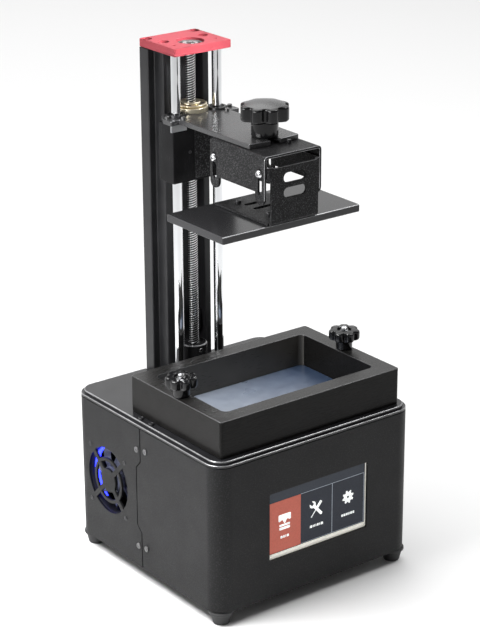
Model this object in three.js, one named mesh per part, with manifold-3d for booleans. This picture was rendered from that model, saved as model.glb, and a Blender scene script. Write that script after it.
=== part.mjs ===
// Desktop resin printer: a square sheet-metal base with a touch screen, a resin vat held by two star
// knobs, and a build plate that hangs from a carriage on two guide rods and a lead screw.
// Millimetres, +Z up. The origin is on the floor, under the middle of the base; the screen faces -Y.
import * as THREE from 'three';
import { mergeVertices } from 'three/addons/utils/BufferGeometryUtils.js';
import Module from 'manifold-3d';

const wasm = await Module();
wasm.setup();

// ---- driving dimensions -------------------------------------------------------------------------
const GAP = 0.3;                     // clearance kept between neighbouring pieces

const BASE_W = 200;
const BASE_D = 200;
const BASE_R = 15;                   // radius of the base's four upright corners
const FOOT_H = 12;
const SHELL_TOP = 137.3;
const SHEET = 2;
const FLOOR_TOP = FOOT_H + 2.1;      // upper face of the floor plate
const LID_RIM = [SHELL_TOP + 0.5, SHELL_TOP + 2.6];
const LID_TOP = 142.4;
const LID_STEP = 2.6;                // how far the raised deck stands in from the rim

const SEAM_Y = 4;                    // where front and rear shells meet on the side walls
const SEAM_TOOTH_Y = 10;             // the front shell's tooth reaches back to here
const SEAM_TOOTH_Z = [44, 50, 101.5, 108];

const WINDOW = { x0: -48.6, x1: 51.8, z0: 45.1, z1: 103.3 };
const SCREEN = { x0: -48.4, x1: 51, z0: 49, z1: 103.8 };

const FAN_Y = 52.5;
const FAN_Z = 73.8;
const FAN_SIZE = 60;
const FAN_PITCH = 50;
const GRILLE_R = [10.5, 17, 20, 28.5];
const SPOKE_W = 4.5;

const VAT = { x: 90.3, y0: -92.3, y1: 29.3, z0: 142.7, z1: 173.7 };
const BASIN = { x: 75.7, y0: -77.6, y1: 15.4 };
const VAT_Y = -31;                   // middle of the vat, and of its two knobs
const VAT_STUD_X = 83.2;
const VAT_STUD_TOP = 193;
const FILM_POCKET_Z = 146;

const LCD = { x: 66, y0: -69, y1: 7, z0: 140, z1: 142.2 };
const BOX = { x: 63, y0: -67, y1: 5, z0: 70, z1: 139.7 };

const ROD_X = 20.4;
const ROD_Y = 59;
const ROD_R = 4;
const SCREW_Y = 66.5;
const SCREW_R = 3.9;
const BRIDGE_Z = [132.4, 136.4];     // plate that carries the column, the rods and the motor
const COLUMN_TOP = 421.7;
const TOP_PLATE = { x: 28.5, y0: 48.4, y1: 98.9, z0: 422, z1: 428.5 };
const TOP_SCREWS = [[-23.7, 93.6], [23.7, 93.6], [-19.3, 76], [19.3, 76]];

const ARM_Z = [367.2, 371.2];
const ARM_FRONT = -44.6;
const BLOCK = { x: 31, y0: 48.5, y1: 68, z0: 318, z1: 366.9 };
const BEARING_R = 7.5;
const BEARING_L = 24;

const KNOB_Y = -31;                  // clamping stud of the build head
const KNOB_Z = [371.5, 385, 396.7, 399.4];
const KNOB_TURN = 30.5;              // degrees by which its lobes are turned from +X
const KNOB_R = 19.8;
const KNOB_HUB_R = 10.7;
const STUD_R = 4;

const HOOD = { x: 28, y0: -66.5, y1: 3.2, top: 366.9, sheet: 2, wall: 337, tip: 327.7 };
const TONGUE_W = 11.8;
const LEVEL_SLOT = { z0: 335.5, z1: 356.5, w: 4.6 };
const LEVEL_Z = 352.4;
const SADDLE = { x: 24.5, wallX: 23, railX: 25.6, front: -69, rear: 2, z0: 311.5, wallTop: 357.4 };
const RAIL_Z = [346, 358.5];
const PLATE = { x: 67.6, y0: -66.7, y1: 7.3, z0: 305.2, z1: 311.2 };

// ---- materials ----------------------------------------------------------------------------------
const material = (color, roughness, metalness) =>
  new THREE.MeshStandardMaterial({ color, roughness, metalness });

const BLACK_PAINT = material(0x151517, 0.55, 0.2);
const LID_PAINT = material(0x1a1a1c, 0.45, 0.3);
const BLACK_ANODISED = material(0x1b1b1d, 0.4, 0.7);
const COLUMN_GREY = material(0x3a3a3c, 0.45, 0.7);
const RED_ANODISED = material(0xb02238, 0.35, 0.7);
const CHROME = material(0xe2e4e8, 0.12, 1);
const STEEL = material(0x9a9ca0, 0.35, 1);
const BRASS = material(0xc9a560, 0.3, 1);
const RUBBER = material(0x0d0d0d, 0.85, 0);
const KNOB_PLASTIC = material(0x0f0f10, 0.25, 0);
const BLACK_PLASTIC = material(0x141416, 0.5, 0);
const WHITE_PLASTIC = material(0xe8e8ea, 0.5, 0);
const SCREEN_GLASS = material(0x20222a, 0.15, 0);
const LCD_GLASS = material(0x1c2434, 0.1, 0);
const FILM_CLEAR = material(0x6f7fa8, 0.15, 0);
const BOARD_GREEN = material(0x1d4a2c, 0.55, 0);
const HEAT_SINK = material(0x8d9095, 0.4, 0.9);
const FAN_BLUE = material(0x2b49d8, 0.35, 0);

// ---- solid helpers ------------------------------------------------------------------------------
function toSolid(geometry) {
  const bare = geometry.clone();
  bare.deleteAttribute('normal');
  bare.deleteAttribute('uv');
  const merged = mergeVertices(bare, 1e-4);
  return new wasm.Manifold(new wasm.Mesh({
    numProp: 3,
    vertProperties: new Float32Array(merged.attributes.position.array),
    triVerts: new Uint32Array(merged.index.array),
  }));
}

function toGeometry(solid) {
  const mesh = solid.getMesh();
  const geometry = new THREE.BufferGeometry();
  geometry.setAttribute('position', new THREE.BufferAttribute(new Float32Array(mesh.vertProperties), 3));
  geometry.setIndex(new THREE.BufferAttribute(new Uint32Array(mesh.triVerts), 1));
  geometry.computeVertexNormals();
  return geometry;
}

function cut(body, ...tools) {
  return toGeometry(tools.reduce((left, tool) => left.subtract(toSolid(tool)), toSolid(body)));
}

function join(...bodies) {
  return toGeometry(bodies.slice(1).reduce((sum, body) => sum.add(toSolid(body)), toSolid(bodies[0])));
}

function common(a, b) {
  return toGeometry(toSolid(a).intersect(toSolid(b)));
}

// ---- outline helpers ----------------------------------------------------------------------------
function polygon(points) {
  return new THREE.Shape(points.map(([x, y]) => new THREE.Vector2(x, y)));
}

function roundedRect(x0, y0, x1, y1, radius) {
  const shape = new THREE.Shape();
  shape.moveTo(x0 + radius, y0);
  shape.lineTo(x1 - radius, y0);
  shape.absarc(x1 - radius, y0 + radius, radius, -Math.PI / 2, 0);
  shape.lineTo(x1, y1 - radius);
  shape.absarc(x1 - radius, y1 - radius, radius, 0, Math.PI / 2);
  shape.lineTo(x0 + radius, y1);
  shape.absarc(x0 + radius, y1 - radius, radius, Math.PI / 2, Math.PI);
  shape.lineTo(x0, y0 + radius);
  shape.absarc(x0 + radius, y0 + radius, radius, Math.PI, 1.5 * Math.PI);
  return shape;
}

function star(radius, depth, lobes, steps) {
  const points = [];
  for (let i = 0; i < steps; i += 1) {
    const angle = (2 * Math.PI * i) / steps;
    const dip = Math.max(0, -Math.cos(lobes * angle));
    const r = radius - depth * dip;
    points.push([r * Math.cos(angle), r * Math.sin(angle)]);
  }
  return polygon(points);
}

// ---- body helpers -------------------------------------------------------------------------------
const ALONG_X = new THREE.Matrix4().makeBasis(
  new THREE.Vector3(0, 1, 0), new THREE.Vector3(0, 0, 1), new THREE.Vector3(1, 0, 0));
const ALONG_Y = new THREE.Matrix4().makeBasis(
  new THREE.Vector3(1, 0, 0), new THREE.Vector3(0, 0, 1), new THREE.Vector3(0, -1, 0));

function extrude(shape, depth, segments = 3) {
  return new THREE.ExtrudeGeometry(shape, { depth, bevelEnabled: false, curveSegments: segments });
}

// Outline in (x, y), standing from z0 to z1.
function prismZ(shape, z0, z1, segments) {
  return extrude(shape, z1 - z0, segments).translate(0, 0, z0);
}

// Outline in (y, z), reaching from x0 to x1.
function prismX(shape, x0, x1, segments) {
  return extrude(shape, x1 - x0, segments).applyMatrix4(ALONG_X).translate(x0, 0, 0);
}

// Outline in (x, z), reaching from y0 to y1.
function prismY(shape, y0, y1, segments) {
  return extrude(shape, y1 - y0, segments).applyMatrix4(ALONG_Y).translate(0, y1, 0);
}

function box(x0, x1, y0, y1, z0, z1) {
  return new THREE.BoxGeometry(x1 - x0, y1 - y0, z1 - z0)
    .translate((x0 + x1) / 2, (y0 + y1) / 2, (z0 + z1) / 2);
}

function cylinderZ(r, z0, z1, x = 0, y = 0, segments = 16) {
  return new THREE.CylinderGeometry(r, r, z1 - z0, segments)
    .rotateX(Math.PI / 2)
    .translate(x, y, (z0 + z1) / 2);
}

function cylinderX(r, x0, x1, y, z, segments = 16) {
  return new THREE.CylinderGeometry(r, r, x1 - x0, segments)
    .rotateZ(Math.PI / 2)
    .translate((x0 + x1) / 2, y, z);
}

function cylinderY(r, y0, y1, x, z, segments = 16) {
  return new THREE.CylinderGeometry(r, r, y1 - y0, segments).translate(x, (y0 + y1) / 2, z);
}

// A turned piece: profile points are (radius, height), starting and ending on the axis or closing.
function turned(profile, x, y, segments = 16) {
  const points = profile.map(([r, z]) => new THREE.Vector2(r, z));
  return new THREE.LatheGeometry(points, segments).rotateX(Math.PI / 2).translate(x, y, 0);
}

const printer = new THREE.Group();

function add(name, geometry, look) {
  const mesh = new THREE.Mesh(geometry, look);
  mesh.name = name;
  printer.add(mesh);
}

// ---- base housing -------------------------------------------------------------------------------
const HALF_W = BASE_W / 2;
const HALF_D = BASE_D / 2;

function shellRing() {
  const outer = prismZ(roundedRect(-HALF_W, -HALF_D, HALF_W, HALF_D, BASE_R), FOOT_H, SHELL_TOP, 6);
  const inner = prismZ(
    roundedRect(-HALF_W + SHEET, -HALF_D + SHEET, HALF_W - SHEET, HALF_D - SHEET, BASE_R - SHEET),
    FOOT_H - 1, SHELL_TOP + 1, 6);
  return cut(outer, inner);
}

// Everything in front of the toothed seam, as seen from the side.
function seamRegion(offset) {
  const [za, zb, zc, zd] = SEAM_TOOTH_Z;
  const near = SEAM_Y + offset;
  const far = SEAM_TOOTH_Y + offset;
  return prismX(polygon([
    [-HALF_D - 5, 0], [near, 0], [near, za], [far, zb], [far, zc], [near, zd],
    [near, SHELL_TOP + 5], [-HALF_D - 5, SHELL_TOP + 5],
  ]), -HALF_W - 5, HALF_W + 5);
}

function grilleSlot(inner, outer, quadrant) {
  const half = SPOKE_W / 2;
  const from = Math.PI / 4 + quadrant * (Math.PI / 2);
  const shape = new THREE.Shape();
  const steps = 5;
  const edge = (radius, t) => {
    const margin = Math.asin(half / radius);
    return from + margin + (Math.PI / 2 - 2 * margin) * t;
  };
  for (let i = 0; i <= steps; i += 1) {
    const angle = edge(outer, i / steps);
    const point = [FAN_Y + outer * Math.cos(angle), FAN_Z + outer * Math.sin(angle)];
    if (i === 0) shape.moveTo(...point);
    else shape.lineTo(...point);
  }
  for (let i = steps; i >= 0; i -= 1) {
    const angle = edge(inner, i / steps);
    shape.lineTo(FAN_Y + inner * Math.cos(angle), FAN_Z + inner * Math.sin(angle));
  }
  return prismX(shape, -HALF_W - 3, -HALF_W + SHEET + 1);
}

function frontShell() {
  const windowCut = box(WINDOW.x0, WINDOW.x1, -HALF_D - 2, -HALF_D + SHEET + 1, WINDOW.z0, WINDOW.z1);
  return cut(common(shellRing(), seamRegion(0)), windowCut);
}

const DC = { x: 60, z: 40, r: 4.6 };
const USB = { x: 34, z: 40, w: 12, h: 11 };
const SWITCH = { x: -52, z: 40, w: 13, h: 19 };

function rearShell() {
  const slots = [];
  for (let quadrant = 0; quadrant < 4; quadrant += 1) {
    slots.push(grilleSlot(GRILLE_R[0], GRILLE_R[1], quadrant));
    slots.push(grilleSlot(GRILLE_R[2], GRILLE_R[3], quadrant));
  }
  const inlet = cylinderY(DC.r + GAP, HALF_D - 5, HALF_D + 5, DC.x, DC.z, 12);
  const usb = box(USB.x - USB.w / 2 - GAP, USB.x + USB.w / 2 + GAP, HALF_D - 5, HALF_D + 5,
    USB.z - USB.h / 2 - GAP, USB.z + USB.h / 2 + GAP);
  const rocker = box(SWITCH.x - SWITCH.w / 2 - GAP, SWITCH.x + SWITCH.w / 2 + GAP, HALF_D - 5, HALF_D + 5,
    SWITCH.z - SWITCH.h / 2 - GAP, SWITCH.z + SWITCH.h / 2 + GAP);
  return cut(shellRing(), seamRegion(GAP), inlet, usb, rocker, ...slots);
}

add('front_shell', frontShell(), BLACK_PAINT);
add('rear_shell', rearShell(), BLACK_PAINT);

const FLOOR_EDGE = HALF_W - SHEET - 0.4;
add('floor_plate', prismZ(
  roundedRect(-FLOOR_EDGE, -FLOOR_EDGE, FLOOR_EDGE, FLOOR_EDGE, BASE_R - SHEET - 0.4),
  FOOT_H + 0.1, FLOOR_TOP), BLACK_PAINT);

// Lid: a rim flush with the shells and a deck raised on it, notched for the column, the rods, the
// coupler and the exposure window.
function lid() {
  const rim = prismZ(roundedRect(-HALF_W, -HALF_D, HALF_W, HALF_D, BASE_R), LID_RIM[0], LID_RIM[1], 6);
  const reach = HALF_W - LID_STEP;
  const deckOutline = roundedRect(-reach, -reach, reach, reach, BASE_R - LID_STEP);
  const deck = prismZ(deckOutline, LID_RIM[1] - 0.5, LID_TOP, 6);
  const low = LID_RIM[0] - 1;
  const high = LID_TOP + 1;
  const window = box(-LCD.x - GAP, LCD.x + GAP, LCD.y0 - GAP, LCD.y1 + GAP, low, high);
  const column = prismZ(polygon([
    [-22.8, 72.2], [22.8, 72.2], [22.8, 84.9], [29, 84.9], [29, HALF_D + 5],
    [-29, HALF_D + 5], [-29, 84.9], [-22.8, 84.9],
  ]), low, high);
  return cut(join(rim, deck), window, column,
    cylinderZ(ROD_R + 0.7, low, high, -ROD_X, ROD_Y, 12),
    cylinderZ(ROD_R + 0.7, low, high, ROD_X, ROD_Y, 12),
    cylinderZ(11.8, low, high, 0, SCREW_Y, 16));
}
add('lid', lid(), LID_PAINT);

const FOOT_XY = 89.3;
const FOOT_PROFILE = [[0, 0], [6.7, 0], [8.8, 8.8], [10.3, 9.2], [10.3, 11.4], [9.9, 11.8], [0, 11.8]];
for (const [name, sx, sy] of [
  ['foot_front_left', -1, -1], ['foot_front_right', 1, -1],
  ['foot_rear_left', -1, 1], ['foot_rear_right', 1, 1]]) {
  add(name, turned(FOOT_PROFILE, sx * FOOT_XY, sy * FOOT_XY, 12), RUBBER);
}

// Touch screen set in a white frame behind the window of the front shell.
const FRAME_FRONT = -HALF_D + SHEET + GAP;
add('screen_frame', cut(
  box(WINDOW.x0 - 4, WINDOW.x1 + 4, FRAME_FRONT, FRAME_FRONT + 4, WINDOW.z0 - 4, WINDOW.z1 + 4),
  box(SCREEN.x0 - GAP, SCREEN.x1 + GAP, FRAME_FRONT - 1, FRAME_FRONT + 2,
    SCREEN.z0 - GAP, SCREEN.z1 + GAP)), WHITE_PLASTIC);
add('touch_screen', box(SCREEN.x0, SCREEN.x1, FRAME_FRONT, FRAME_FRONT + 1.7, SCREEN.z0, SCREEN.z1),
  SCREEN_GLASS);

// ---- exposure unit and electronics --------------------------------------------------------------
add('masking_lcd', box(-LCD.x, LCD.x, LCD.y0, LCD.y1, LCD.z0, LCD.z1), LCD_GLASS);
add('light_box', cut(
  box(-BOX.x, BOX.x, BOX.y0, BOX.y1, BOX.z0, BOX.z1),
  box(-BOX.x + 3, BOX.x - 3, BOX.y0 + 3, BOX.y1 - 3, BOX.z0 - 1, BOX.z1 + 1)), BLACK_PLASTIC);

function lamp() {
  const board = box(-BOX.x, BOX.x, BOX.y0, BOX.y1, BOX.z0 - 2.6, BOX.z0 - GAP);
  const emitters = box(-30, 30, VAT_Y - 15, VAT_Y + 15, BOX.z0 - 1, BOX.z0 + 3);
  return join(board, emitters);
}
add('uv_lamp', lamp(), WHITE_PLASTIC);

function heatSink() {
  const top = BOX.z0 - 2.9;
  const fins = [];
  for (let i = 0; i < 11; i += 1) {
    const y = VAT_Y - 30 + i * 6;
    fins.push(box(-50, 50, y - 1, y + 1, top - 32, top - 4));
  }
  return join(box(-50, 50, VAT_Y - 31, VAT_Y + 31, top - 5, top), ...fins);
}
add('heat_sink', heatSink(), HEAT_SINK);

function mainBoard() {
  const posts = [];
  for (const x of [-54, 54]) {
    for (const y of [-56, 10]) posts.push(cylinderZ(3, FLOOR_TOP + GAP, 20.5, x, y, 12));
  }
  return join(box(-60, 60, -62, 16, 20, 21.6), ...posts,
    box(-20, 0, -30, -10, 21, 25), box(20, 44, -40, -28, 21, 30), box(-50, -30, 0, 12, 21, 31),
    box(10, 50, 2, 12, 21, 30));
}
add('main_board', mainBoard(), BOARD_GREEN);

// ---- cooling fan in the left wall ---------------------------------------------------------------
const FAN_X = [-HALF_W + SHEET + GAP, -HALF_W + SHEET + GAP + 10];

function fanFrame() {
  const half = FAN_SIZE / 2;
  const outline = roundedRect(FAN_Y - half, FAN_Z - half, FAN_Y + half, FAN_Z + half, 3);
  const body = prismX(outline, FAN_X[0], FAN_X[1]);
  const bore = cylinderX(28.4, FAN_X[0] - 1, FAN_X[1] + 1, FAN_Y, FAN_Z, 24);
  const struts = [0, 1, 2].map((i) => {
    const angle = Math.PI / 2 + (i * 2 * Math.PI) / 3;
    const strut = box(FAN_X[1] - 1.8, FAN_X[1], -1.5, 1.5, 0, 29.5).rotateX(angle);
    return strut.translate(0, FAN_Y, FAN_Z);
  });
  const seat = cylinderX(12, FAN_X[1] - 1.8, FAN_X[1], FAN_Y, FAN_Z, 16);
  const holes = [];
  for (const y of [-1, 1]) {
    for (const z of [-1, 1]) {
      holes.push(cylinderX(2, FAN_X[0] - 1, FAN_X[1] + 1,
        FAN_Y + (y * FAN_PITCH) / 2, FAN_Z + (z * FAN_PITCH) / 2, 12));
    }
  }
  return join(cut(body, bore, ...holes), seat, ...struts);
}
add('fan_frame', fanFrame(), BLACK_PLASTIC);

function fanRotor() {
  const hub = cylinderX(11.5, FAN_X[0] + 0.8, FAN_X[1] - 2.3, FAN_Y, FAN_Z, 16);
  const blades = [];
  for (let i = 0; i < 7; i += 1) {
    const blade = box(-2.6, 2.6, -0.6, 0.6, 10.5, 26.8);
    const twist = new THREE.Matrix4().makeRotationZ(0.65);
    blade.applyMatrix4(twist).rotateX((i * 2 * Math.PI) / 7);
    blades.push(blade.translate((FAN_X[0] + FAN_X[1]) / 2 - 0.8, FAN_Y, FAN_Z));
  }
  return join(hub, ...blades);
}
add('fan_rotor', fanRotor(), FAN_BLUE);

// ---- rear sockets and switch --------------------------------------------------------------------
add('dc_inlet', join(
  cut(cylinderY(DC.r, HALF_D - 13, HALF_D - 0.1, DC.x, DC.z, 12),
    cylinderY(3.1, HALF_D - 10, HALF_D + 1, DC.x, DC.z, 16)),
  cylinderY(0.9, HALF_D - 11, HALF_D - 2, DC.x, DC.z, 10)), BLACK_PLASTIC);

add('usb_socket', cut(
  box(USB.x - USB.w / 2, USB.x + USB.w / 2, HALF_D - 14, HALF_D - 0.1, USB.z - USB.h / 2, USB.z + USB.h / 2),
  box(USB.x - 4.2, USB.x + 4.2, HALF_D - 10, HALF_D + 1, USB.z - 3.8, USB.z + 3.8)), STEEL);

const ROCKER_Y = HALF_D - 5.5;
add('switch_frame', cut(
  box(SWITCH.x - SWITCH.w / 2, SWITCH.x + SWITCH.w / 2, HALF_D - 14, HALF_D - 0.1,
    SWITCH.z - SWITCH.h / 2, SWITCH.z + SWITCH.h / 2),
  box(SWITCH.x - 5, SWITCH.x + 5, HALF_D - 11, HALF_D + 1, SWITCH.z - 8, SWITCH.z + 8)), BLACK_PLASTIC);

// The rocker is shown switched off: its upper end stands proud, its lower end is pressed in.
function rocker() {
  const outline = polygon([[-2.6, -6.7], [2.1, -6.7], [3.1, 0], [5, 6.4], [-1.5, 6.9]]);
  return prismX(outline, -4.6, 4.6).translate(SWITCH.x, ROCKER_Y, SWITCH.z);
}
add('power_rocker', rocker(), BLACK_PLASTIC);

// ---- Z axis -------------------------------------------------------------------------------------
function motorBridge() {
  const top = box(-45, 45, 44, 97.5, BRIDGE_Z[0], BRIDGE_Z[1]);
  const legs = [-1, 1].map((side) => {
    const inner = side * 42;
    const outer = side * 45;
    return box(Math.min(inner, outer), Math.max(inner, outer), 44, 97.5, FLOOR_TOP + GAP, BRIDGE_Z[1]);
  });
  return cut(join(top, ...legs), cylinderZ(11.4, BRIDGE_Z[0] - 1, BRIDGE_Z[1] + 1, 0, SCREW_Y, 16));
}
add('motor_bridge', motorBridge(), STEEL);

const MOTOR_Z = [92, BRIDGE_Z[0] - GAP];
function motorBody() {
  const half = 21.1;
  const c = 4;
  const y0 = SCREW_Y - half;
  const y1 = SCREW_Y + half;
  const can = prismZ(polygon([
    [-half + c, y0], [half - c, y0], [half, y0 + c], [half, y1 - c],
    [half - c, y1], [-half + c, y1], [-half, y1 - c], [-half, y0 + c],
  ]), MOTOR_Z[0], MOTOR_Z[1]);
  const boss = cylinderZ(11, MOTOR_Z[1] - 1, MOTOR_Z[1] + 2, 0, SCREW_Y, 16);
  return cut(join(can, boss), cylinderZ(3, MOTOR_Z[0] + 18, MOTOR_Z[1] + 5, 0, SCREW_Y, 16));
}
add('stepper_motor', motorBody(), BLACK_ANODISED);

const COUPLER_Z = [141, 169];
const COUPLER_MID = 153;
add('motor_shaft', cylinderZ(2.5, MOTOR_Z[0] + 18.5, COUPLER_MID - 1, 0, SCREW_Y, 16), STEEL);
add('shaft_coupler', turned([
  [2.9, COUPLER_Z[0]], [10.5, COUPLER_Z[0]], [10.5, COUPLER_Z[1]], [4.3, COUPLER_Z[1]],
  [4.3, COUPLER_MID - 0.5], [2.9, COUPLER_MID - 0.5], [2.9, COUPLER_Z[0]],
], 0, SCREW_Y, 16), BLACK_ANODISED);
add('lead_screw', cylinderZ(SCREW_R, COUPLER_MID, TOP_PLATE.z1 - 1.5, 0, SCREW_Y, 16), STEEL);

for (const [name, side] of [['guide_rod_left', -1], ['guide_rod_right', 1]]) {
  add(name, cylinderZ(ROD_R, BRIDGE_Z[1] + GAP, TOP_PLATE.z0 + 3.2, side * ROD_X, ROD_Y, 16), CHROME);
}

// Column: a channel whose two front legs stand in from a wider back.
function columnOutline() {
  const half = [
    [16.7, 84], [16.7, 73], [21.7, 73], [22.2, 73.5], [22.2, 85.5], [27.9, 85.5], [28.4, 86],
    [28.4, 96.9], [27.7, 97.6],
  ];
  const mirrored = half.map(([x, y]) => [-x, y]).reverse();
  return polygon([...half, ...mirrored]);
}
add('column', prismZ(columnOutline(), BRIDGE_Z[1] + GAP, COLUMN_TOP), COLUMN_GREY);

function topPlate() {
  const { x, y0, y1, z0, z1 } = TOP_PLATE;
  const c = 1.6;
  const slab = prismZ(polygon([
    [-x + c, y0], [x - c, y0], [x, y0 + c], [x, y1 - c], [x - c, y1],
    [-x + c, y1], [-x, y1 - c], [-x, y0 + c],
  ]), z0, z1);
  const tools = [
    cylinderZ(11.3, z0 + 1.2, z1 + 1, 0, SCREW_Y, 16),
    cylinderZ(9, z0 - 1, z0 + 2, 0, SCREW_Y, 16),
  ];
  for (const [sx, sy] of TOP_SCREWS) {
    tools.push(cylinderZ(2.3, z0 - 1, z1 + 1, sx, sy, 16));
    tools.push(cylinderZ(4.3, z1 - 4.4, z1 + 1, sx, sy, 12));
  }
  for (const side of [-1, 1]) {
    tools.push(cylinderZ(ROD_R + GAP, z0 - 1, z0 + 3.5, side * ROD_X, ROD_Y, 12));
    tools.push(cylinderZ(1.3, z0 + 3, z1 + 1, side * ROD_X, ROD_Y + 1, 12));
  }
  return cut(slab, ...tools);
}
add('top_plate', topPlate(), RED_ANODISED);

// Low-headed screws, sunk well below the top plate's upper face.
TOP_SCREWS.forEach(([x, y], i) => {
  const head = TOP_PLATE.z1 - 4.1;
  const screw = join(
    cylinderZ(1.95, TOP_PLATE.z0, head + 1, x, y, 16),
    cut(cylinderZ(3.6, head, head + 1.9, x, y, 12),
      cylinderZ(1.7, head + 0.8, head + 3, x, y, 6)));
  add(`top_screw_${i + 1}`, screw, BLACK_ANODISED);
});

// The bearing's upper face lies well below the plate's.
const BEARING_TOP = TOP_PLATE.z1 - 2.6;
add('top_bearing', turned([
  [4.3, TOP_PLATE.z0 + 1.5], [11, TOP_PLATE.z0 + 1.5], [11, BEARING_TOP],
  [4.3, BEARING_TOP], [4.3, TOP_PLATE.z0 + 1.5],
], 0, SCREW_Y, 16), STEEL);

add('limit_switch', join(
  box(7.5, 15.5, 77.5, 83.7, 174, 192), box(10.5, 12, 75.5, 78.5, 176, 191)), BLACK_PLASTIC);

// ---- carriage -----------------------------------------------------------------------------------
function carriageBlock() {
  const { x, y0, y1, z0, z1 } = BLOCK;
  return cut(box(-x, x, y0, y1, z0, z1),
    cylinderZ(BEARING_R + GAP, z0 - 1, z1 + 1, -ROD_X, ROD_Y, 16),
    cylinderZ(BEARING_R + GAP, z0 - 1, z1 + 1, ROD_X, ROD_Y, 16),
    box(-11.3, 11.3, 55.4, y1 + 1, z0 - 1, z1 + 1));
}
add('carriage_block', carriageBlock(), BLACK_ANODISED);

function carriageArm() {
  const shape = new THREE.Shape();
  const slot = STUD_R + 1;
  const right = [
    [25.8, ARM_FRONT], [25.8, 47], [34, 47], [34, 57], [29.8, 65.5], [25.5, 69], [15.3, 69], [15.3, 80.5],
  ];
  shape.moveTo(-slot, ARM_FRONT);
  shape.lineTo(-slot, KNOB_Y);
  shape.absarc(0, KNOB_Y, slot, Math.PI, 0, true);
  shape.lineTo(slot, ARM_FRONT);
  right.forEach(([x, y]) => shape.lineTo(x, y));
  [...right].reverse().forEach(([x, y]) => shape.lineTo(-x, y));
  return cut(prismZ(shape, ARM_Z[0], ARM_Z[1]),
    cylinderZ(BEARING_R + GAP, ARM_Z[0] - 1, ARM_Z[1] + 1, -ROD_X, ROD_Y, 16),
    cylinderZ(BEARING_R + GAP, ARM_Z[0] - 1, ARM_Z[1] + 1, ROD_X, ROD_Y, 16),
    cylinderZ(5.6, ARM_Z[0] - 1, ARM_Z[1] + 1, 0, SCREW_Y, 16));
}
add('carriage_arm', carriageArm(), BLACK_ANODISED);

const UPPER_BEARING_TOP = ARM_Z[1] + 1;
const LOWER_BEARING_TOP = BLOCK.z0 + 0.5 + BEARING_L;
for (const [name, side, top] of [
  ['bearing_left_upper', -1, UPPER_BEARING_TOP], ['bearing_right_upper', 1, UPPER_BEARING_TOP],
  ['bearing_left_lower', -1, LOWER_BEARING_TOP], ['bearing_right_lower', 1, LOWER_BEARING_TOP]]) {
  add(name, turned([
    [ROD_R + GAP, top - BEARING_L], [BEARING_R, top - BEARING_L], [BEARING_R, top],
    [ROD_R + GAP, top], [ROD_R + GAP, top - BEARING_L],
  ], side * ROD_X, ROD_Y, 16), BLACK_PLASTIC);
}

const NUT_R = SCREW_R + 0.4;
add('lead_nut', turned([
  [NUT_R, 352], [5.2, 352], [5.2, ARM_Z[1] + GAP], [13.2, ARM_Z[1] + GAP], [13.2, ARM_Z[1] + 3.4],
  [12.3, ARM_Z[1] + 3.4], [12.3, ARM_Z[1] + 5.8], [7, ARM_Z[1] + 5.8], [7, ARM_Z[1] + 6.8],
  [NUT_R, ARM_Z[1] + 6.8], [NUT_R, 352],
], 0, SCREW_Y, 16), BRASS);

// ---- build head ---------------------------------------------------------------------------------
const TONGUES = [HOOD.y0 + TONGUE_W / 2, HOOD.y1 - TONGUE_W / 2];

function hood() {
  const { x, y0, y1, top, sheet, wall, tip } = HOOD;
  const bend = 3.4;
  const outline = (inset) => {
    const s = new THREE.Shape();
    const reach = x - inset;
    const r = bend - inset;
    s.moveTo(-reach, tip - 1 - inset);
    s.lineTo(reach, tip - 1 - inset);
    s.lineTo(reach, top - bend);
    s.absarc(reach - r, top - bend, r, 0, Math.PI / 2);
    s.lineTo(-reach + r, top - inset);
    s.absarc(-reach + r, top - bend, r, Math.PI / 2, Math.PI);
    return s;
  };
  const channel = cut(prismY(outline(0), y0, y1), prismY(outline(sheet), y0 - 1, y1 + 1));
  const r = TONGUE_W / 2;
  const side = new THREE.Shape();
  side.moveTo(y0, tip + r);
  side.absarc(TONGUES[0], tip + r, r, Math.PI, 2 * Math.PI);
  side.lineTo(y0 + TONGUE_W, wall);
  side.lineTo(y1 - TONGUE_W, wall);
  side.lineTo(y1 - TONGUE_W, tip + r);
  side.absarc(TONGUES[1], tip + r, r, Math.PI, 2 * Math.PI);
  side.lineTo(y1, top + 1);
  side.lineTo(y0, top + 1);
  const half = LEVEL_SLOT.w / 2;
  const slots = TONGUES.map((y) => prismX(
    roundedRect(y - half, LEVEL_SLOT.z0, y + half, LEVEL_SLOT.z1, half - 0.01), -x - 5, x + 5));
  return cut(common(channel, prismX(side, -x - 5, x + 5)), ...slots);
}
add('hood_bracket', hood(), BLACK_PAINT);

add('clamp_stud', turned([
  [0, HOOD.top + 0.2], [STUD_R, HOOD.top + 0.2], [STUD_R, 391.2], [STUD_R - 0.8, 392], [0, 392],
], 0, KNOB_Y, 12), STEEL);

function starKnob(x, y, radius, hubRadius, lobes, depth, [z0, z1, z2, z3], bore) {
  const grip = prismZ(star(radius, depth, lobes, 24), z1, z2);
  const dome = turned([
    [0, z2 - 1], [radius * 0.86, z2 - 1], [radius * 0.84, z2 + 0.2 * (z3 - z2)],
    [radius * 0.62, z2 + 0.7 * (z3 - z2)], [radius * 0.3, z2 + 0.95 * (z3 - z2)], [0, z3],
  ], 0, 0, 24);
  const hub = cylinderZ(hubRadius, z0, z1 + 1, 0, 0, 16);
  return cut(join(grip, dome, hub), bore).rotateZ(KNOB_TURN * Math.PI / 180).translate(x, y, 0);
}

const CLAMP_BORE = cylinderZ(STUD_R + GAP, KNOB_Z[0] - 1, 392.4, 0, 0, 12);
add('clamp_knob', starKnob(0, KNOB_Y, KNOB_R, KNOB_HUB_R, 8, 3, KNOB_Z, CLAMP_BORE), KNOB_PLASTIC);

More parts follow.
